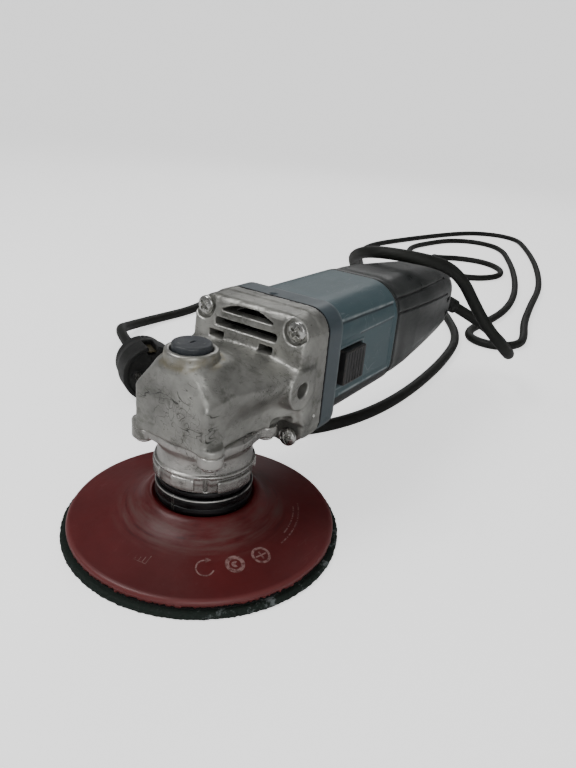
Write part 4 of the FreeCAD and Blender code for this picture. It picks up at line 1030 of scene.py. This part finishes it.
def plug_field(p):
    """Local frame: p[0] sideways, p[1] up, p[2] out of the face."""
    u, v, w = p
    r = np.hypot(u, v)
    outline = np.interp(w, [-48, -34.5, -33, -31, -27, -21, -14, 0],
                        [4.9, 6.6, 9.5, 13.4, 16.6, 16.9, 18.4, 18.4])
    body = smax(r - outline, np.abs(w + 23.5) - 23.5, 0.9)
    face = rcyl(p, (0, 0, 0.6), 2, 15.4, 1.8, 0.4)
    body = smax(body, -face, 0.4)
    for s in (1, -1):
        notch = np.maximum(np.abs(u) - 2.6 + (w + 2) * 0.08, np.abs(v - s * 17.5) - 4.6)
        body = smax(body, -np.maximum(notch, -13 - w), 0.4)
    body = body + np.clip(0.5 - np.abs(u), 0, 0.5) * 0.9 * (np.abs(v) > 6) * (w > -31)
    for s in (-1, 1):
        body = smin(body, rcyl(p, (s * 9.5, 0, -0.4), 2, 3.6, 0.8, 0.3), 0.4)
    return body


axes = [np.arange(-19.5, 20, 0.5), np.arange(-19.5, 20, 0.5), np.arange(-49, 1.6, 0.5)]
verts, faces = surface(plug_field(np.meshgrid(*axes, indexing="ij")), [a[0] for a in axes], 0.5)
basis = np.array([PLUG_SIDE, (0, 0, 1), PLUG_WAY])
plug = mesh("mains_plug_body", verts @ basis + np.array(PLUG_FACE), [f[::-1] for f in faces],
            PLUG_RUBBER)
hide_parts("plug_body")


# ---- lock spring: a coil under the button ----
BORE_FLOOR, COIL_LOW, COIL_HIGH, COIL_TURNS = 79.5, 79.85, 87.75, 5
turn_angles = np.linspace(0, 2 * math.pi * COIL_TURNS, 24 * COIL_TURNS + 1)
heights = np.linspace(COIL_LOW, COIL_HIGH, len(turn_angles))
coil = sweep("lock_spring_coil", [(SPRING_X + SPRING_R * math.cos(a), SPRING_R * math.sin(a), h)
                                  for a, h in zip(turn_angles, heights)],
             [0.3] * len(turn_angles), STEEL, 8)
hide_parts("lock_spring")
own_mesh(coil)


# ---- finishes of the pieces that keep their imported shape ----
def laminated():
    m = Nodes("lamination_steel", 0.5, 0.8, (0.2, 0.19, 0.18))
    sheets = m.node("TexWave", {"Vector": m.coords, "Scale": 320.0}, bands_direction="X").outputs[1]
    m.color(m.mix(sheets, (0.10, 0.095, 0.09), (0.26, 0.25, 0.235)))
    m.rough(m.noise(200.0), 0.4, 0.65)
    m.bump(sheets, 0.00006)
    return m.mat


def wound():
    m = Nodes("copper_winding", 0.35, 0.7, (0.45, 0.15, 0.05))
    wires = m.node("TexWave", {"Vector": m.coords, "Scale": 260.0, "Distortion": 1.2,
                               "Detail": 1.0},
                   bands_direction="DIAGONAL").outputs[1]
    m.color(m.mix(wires, (0.20, 0.055, 0.018), (0.56, 0.22, 0.08)))
    m.rough(wires, 0.28, 0.5)
    m.bump(wires, 0.0002)
    return m.mat


FINISH = {
    "cast_alloy": ALLOY, "bright_steel": STEEL, "housing_plastic": TEAL, "cover_plastic": CHARCOAL,
    "black_plastic": BLACK, "button_plastic": BLACK, "lamination_steel": laminated(),
    "bearing_steel": plain("bearing_steel", (0.52, 0.52, 0.53), 0.22, 1.0, 700),
    "machined_steel": plain("machined_steel", (0.36, 0.355, 0.35), 0.34, 1.0, 500),
    "black_steel": BLACKENED, "copper": wound(),
    "brass": plain("tarnished_brass", (0.10, 0.085, 0.05), 0.42, 0.9, 600),
    "carbon": plain("carbon", (0.02, 0.02, 0.021), 0.6, 0.1, 900),
    "capacitor_film": plain("capacitor_film", (0.38, 0.26, 0.05), 0.35, 0.0, 400),
    "lead_insulation": plain("lead_insulation", (0.02, 0.04, 0.18), 0.4, 0.0, 800),
    "cord_rubber": RUBBER, "seal_rubber": PLUG_RUBBER,
    "pin_nickel": plain("pin_nickel", (0.60, 0.58, 0.54), 0.25, 1.0, 800),
    "pad_rubber": pad.data.materials[0],
    "hook_fabric": plain("hook_fabric", (0.012, 0.012, 0.012), 0.9, 0.0, 2200, 0.0003),
    "abrasive": disc.data.materials[0],
}
for part in frame["record"]["subparts"]:
    node = frame["nodes"][part["node"]]
    node.data.materials.clear()
    node.data.materials.append(FINISH[part["material_slot"]])


# ---- floor and light ----
FLOOR_GLOW = 1.15


def floor_material():
    m = Nodes("floor_pale", 0.75, 0.0, (0.86, 0.86, 0.86), 0.2)
    m.color(m.mix(m.ramp(m.noise(6.0, 3.0), 0.3, 0.7), (0.85, 0.85, 0.85), (0.87, 0.87, 0.87)))
    m.shader.inputs["Emission Color"].default_value = (1, 1, 1, 1)
    seen = m.node("LightPath").outputs["Is Camera Ray"]
    m.tree.links.new(m.math("MULTIPLY", seen, FLOOR_GLOW), m.shader.inputs["Emission Strength"])
    return m.mat


def backdrop():
    """Flat floor that curves up far away."""
    centre, verts = (300, 100), []
    rows = [(r, 0) for r in (1, 900, 2000, 3000)]
    rows += [(3000 + 1500 * math.sin(t), 1500 * (1 - math.cos(t)))
             for t in np.linspace(0.05, 1.5, 24)]
    rows.append((4520, 6000))
    for r, z in rows:
        for j in range(96):
            a = 2 * math.pi * j / 96
            verts.append((centre[0] + r * math.cos(a), centre[1] + r * math.sin(a), z))
    faces = grid_faces(len(rows), 96) + [list(range(96))]
    return mesh("floor", verts, faces, floor_material(), None)


floor = backdrop()

world = bpy.data.worlds.new("studio")
scene.world = world
world.use_nodes = True
world.node_tree.nodes["Background"].inputs["Color"].default_value = (1, 1, 1, 1)
world.node_tree.nodes["Background"].inputs["Strength"].default_value = 0.30


def area(name, at, look, size, power):
    lamp = bpy.data.lights.new(name, "AREA")
    lamp.size = size
    lamp.energy = power
    obj = bpy.data.objects.new(name, lamp)
    scene.collection.objects.link(obj)
    obj.location = at
    obj.rotation_euler = (Vector(look) - Vector(at)).to_track_quat("-Z", "Y").to_euler()


area("key", (-0.5, 0.5, 1.1), (0.05, 0, 0.05), 0.5, 7.5)
area("fill", (-0.9, -0.9, 0.6), (0.1, 0, 0.05), 0.9, 7)
area("rear", (1.3, 0.6, 1.0), (0.3, 0, 0), 0.8, 3.5)
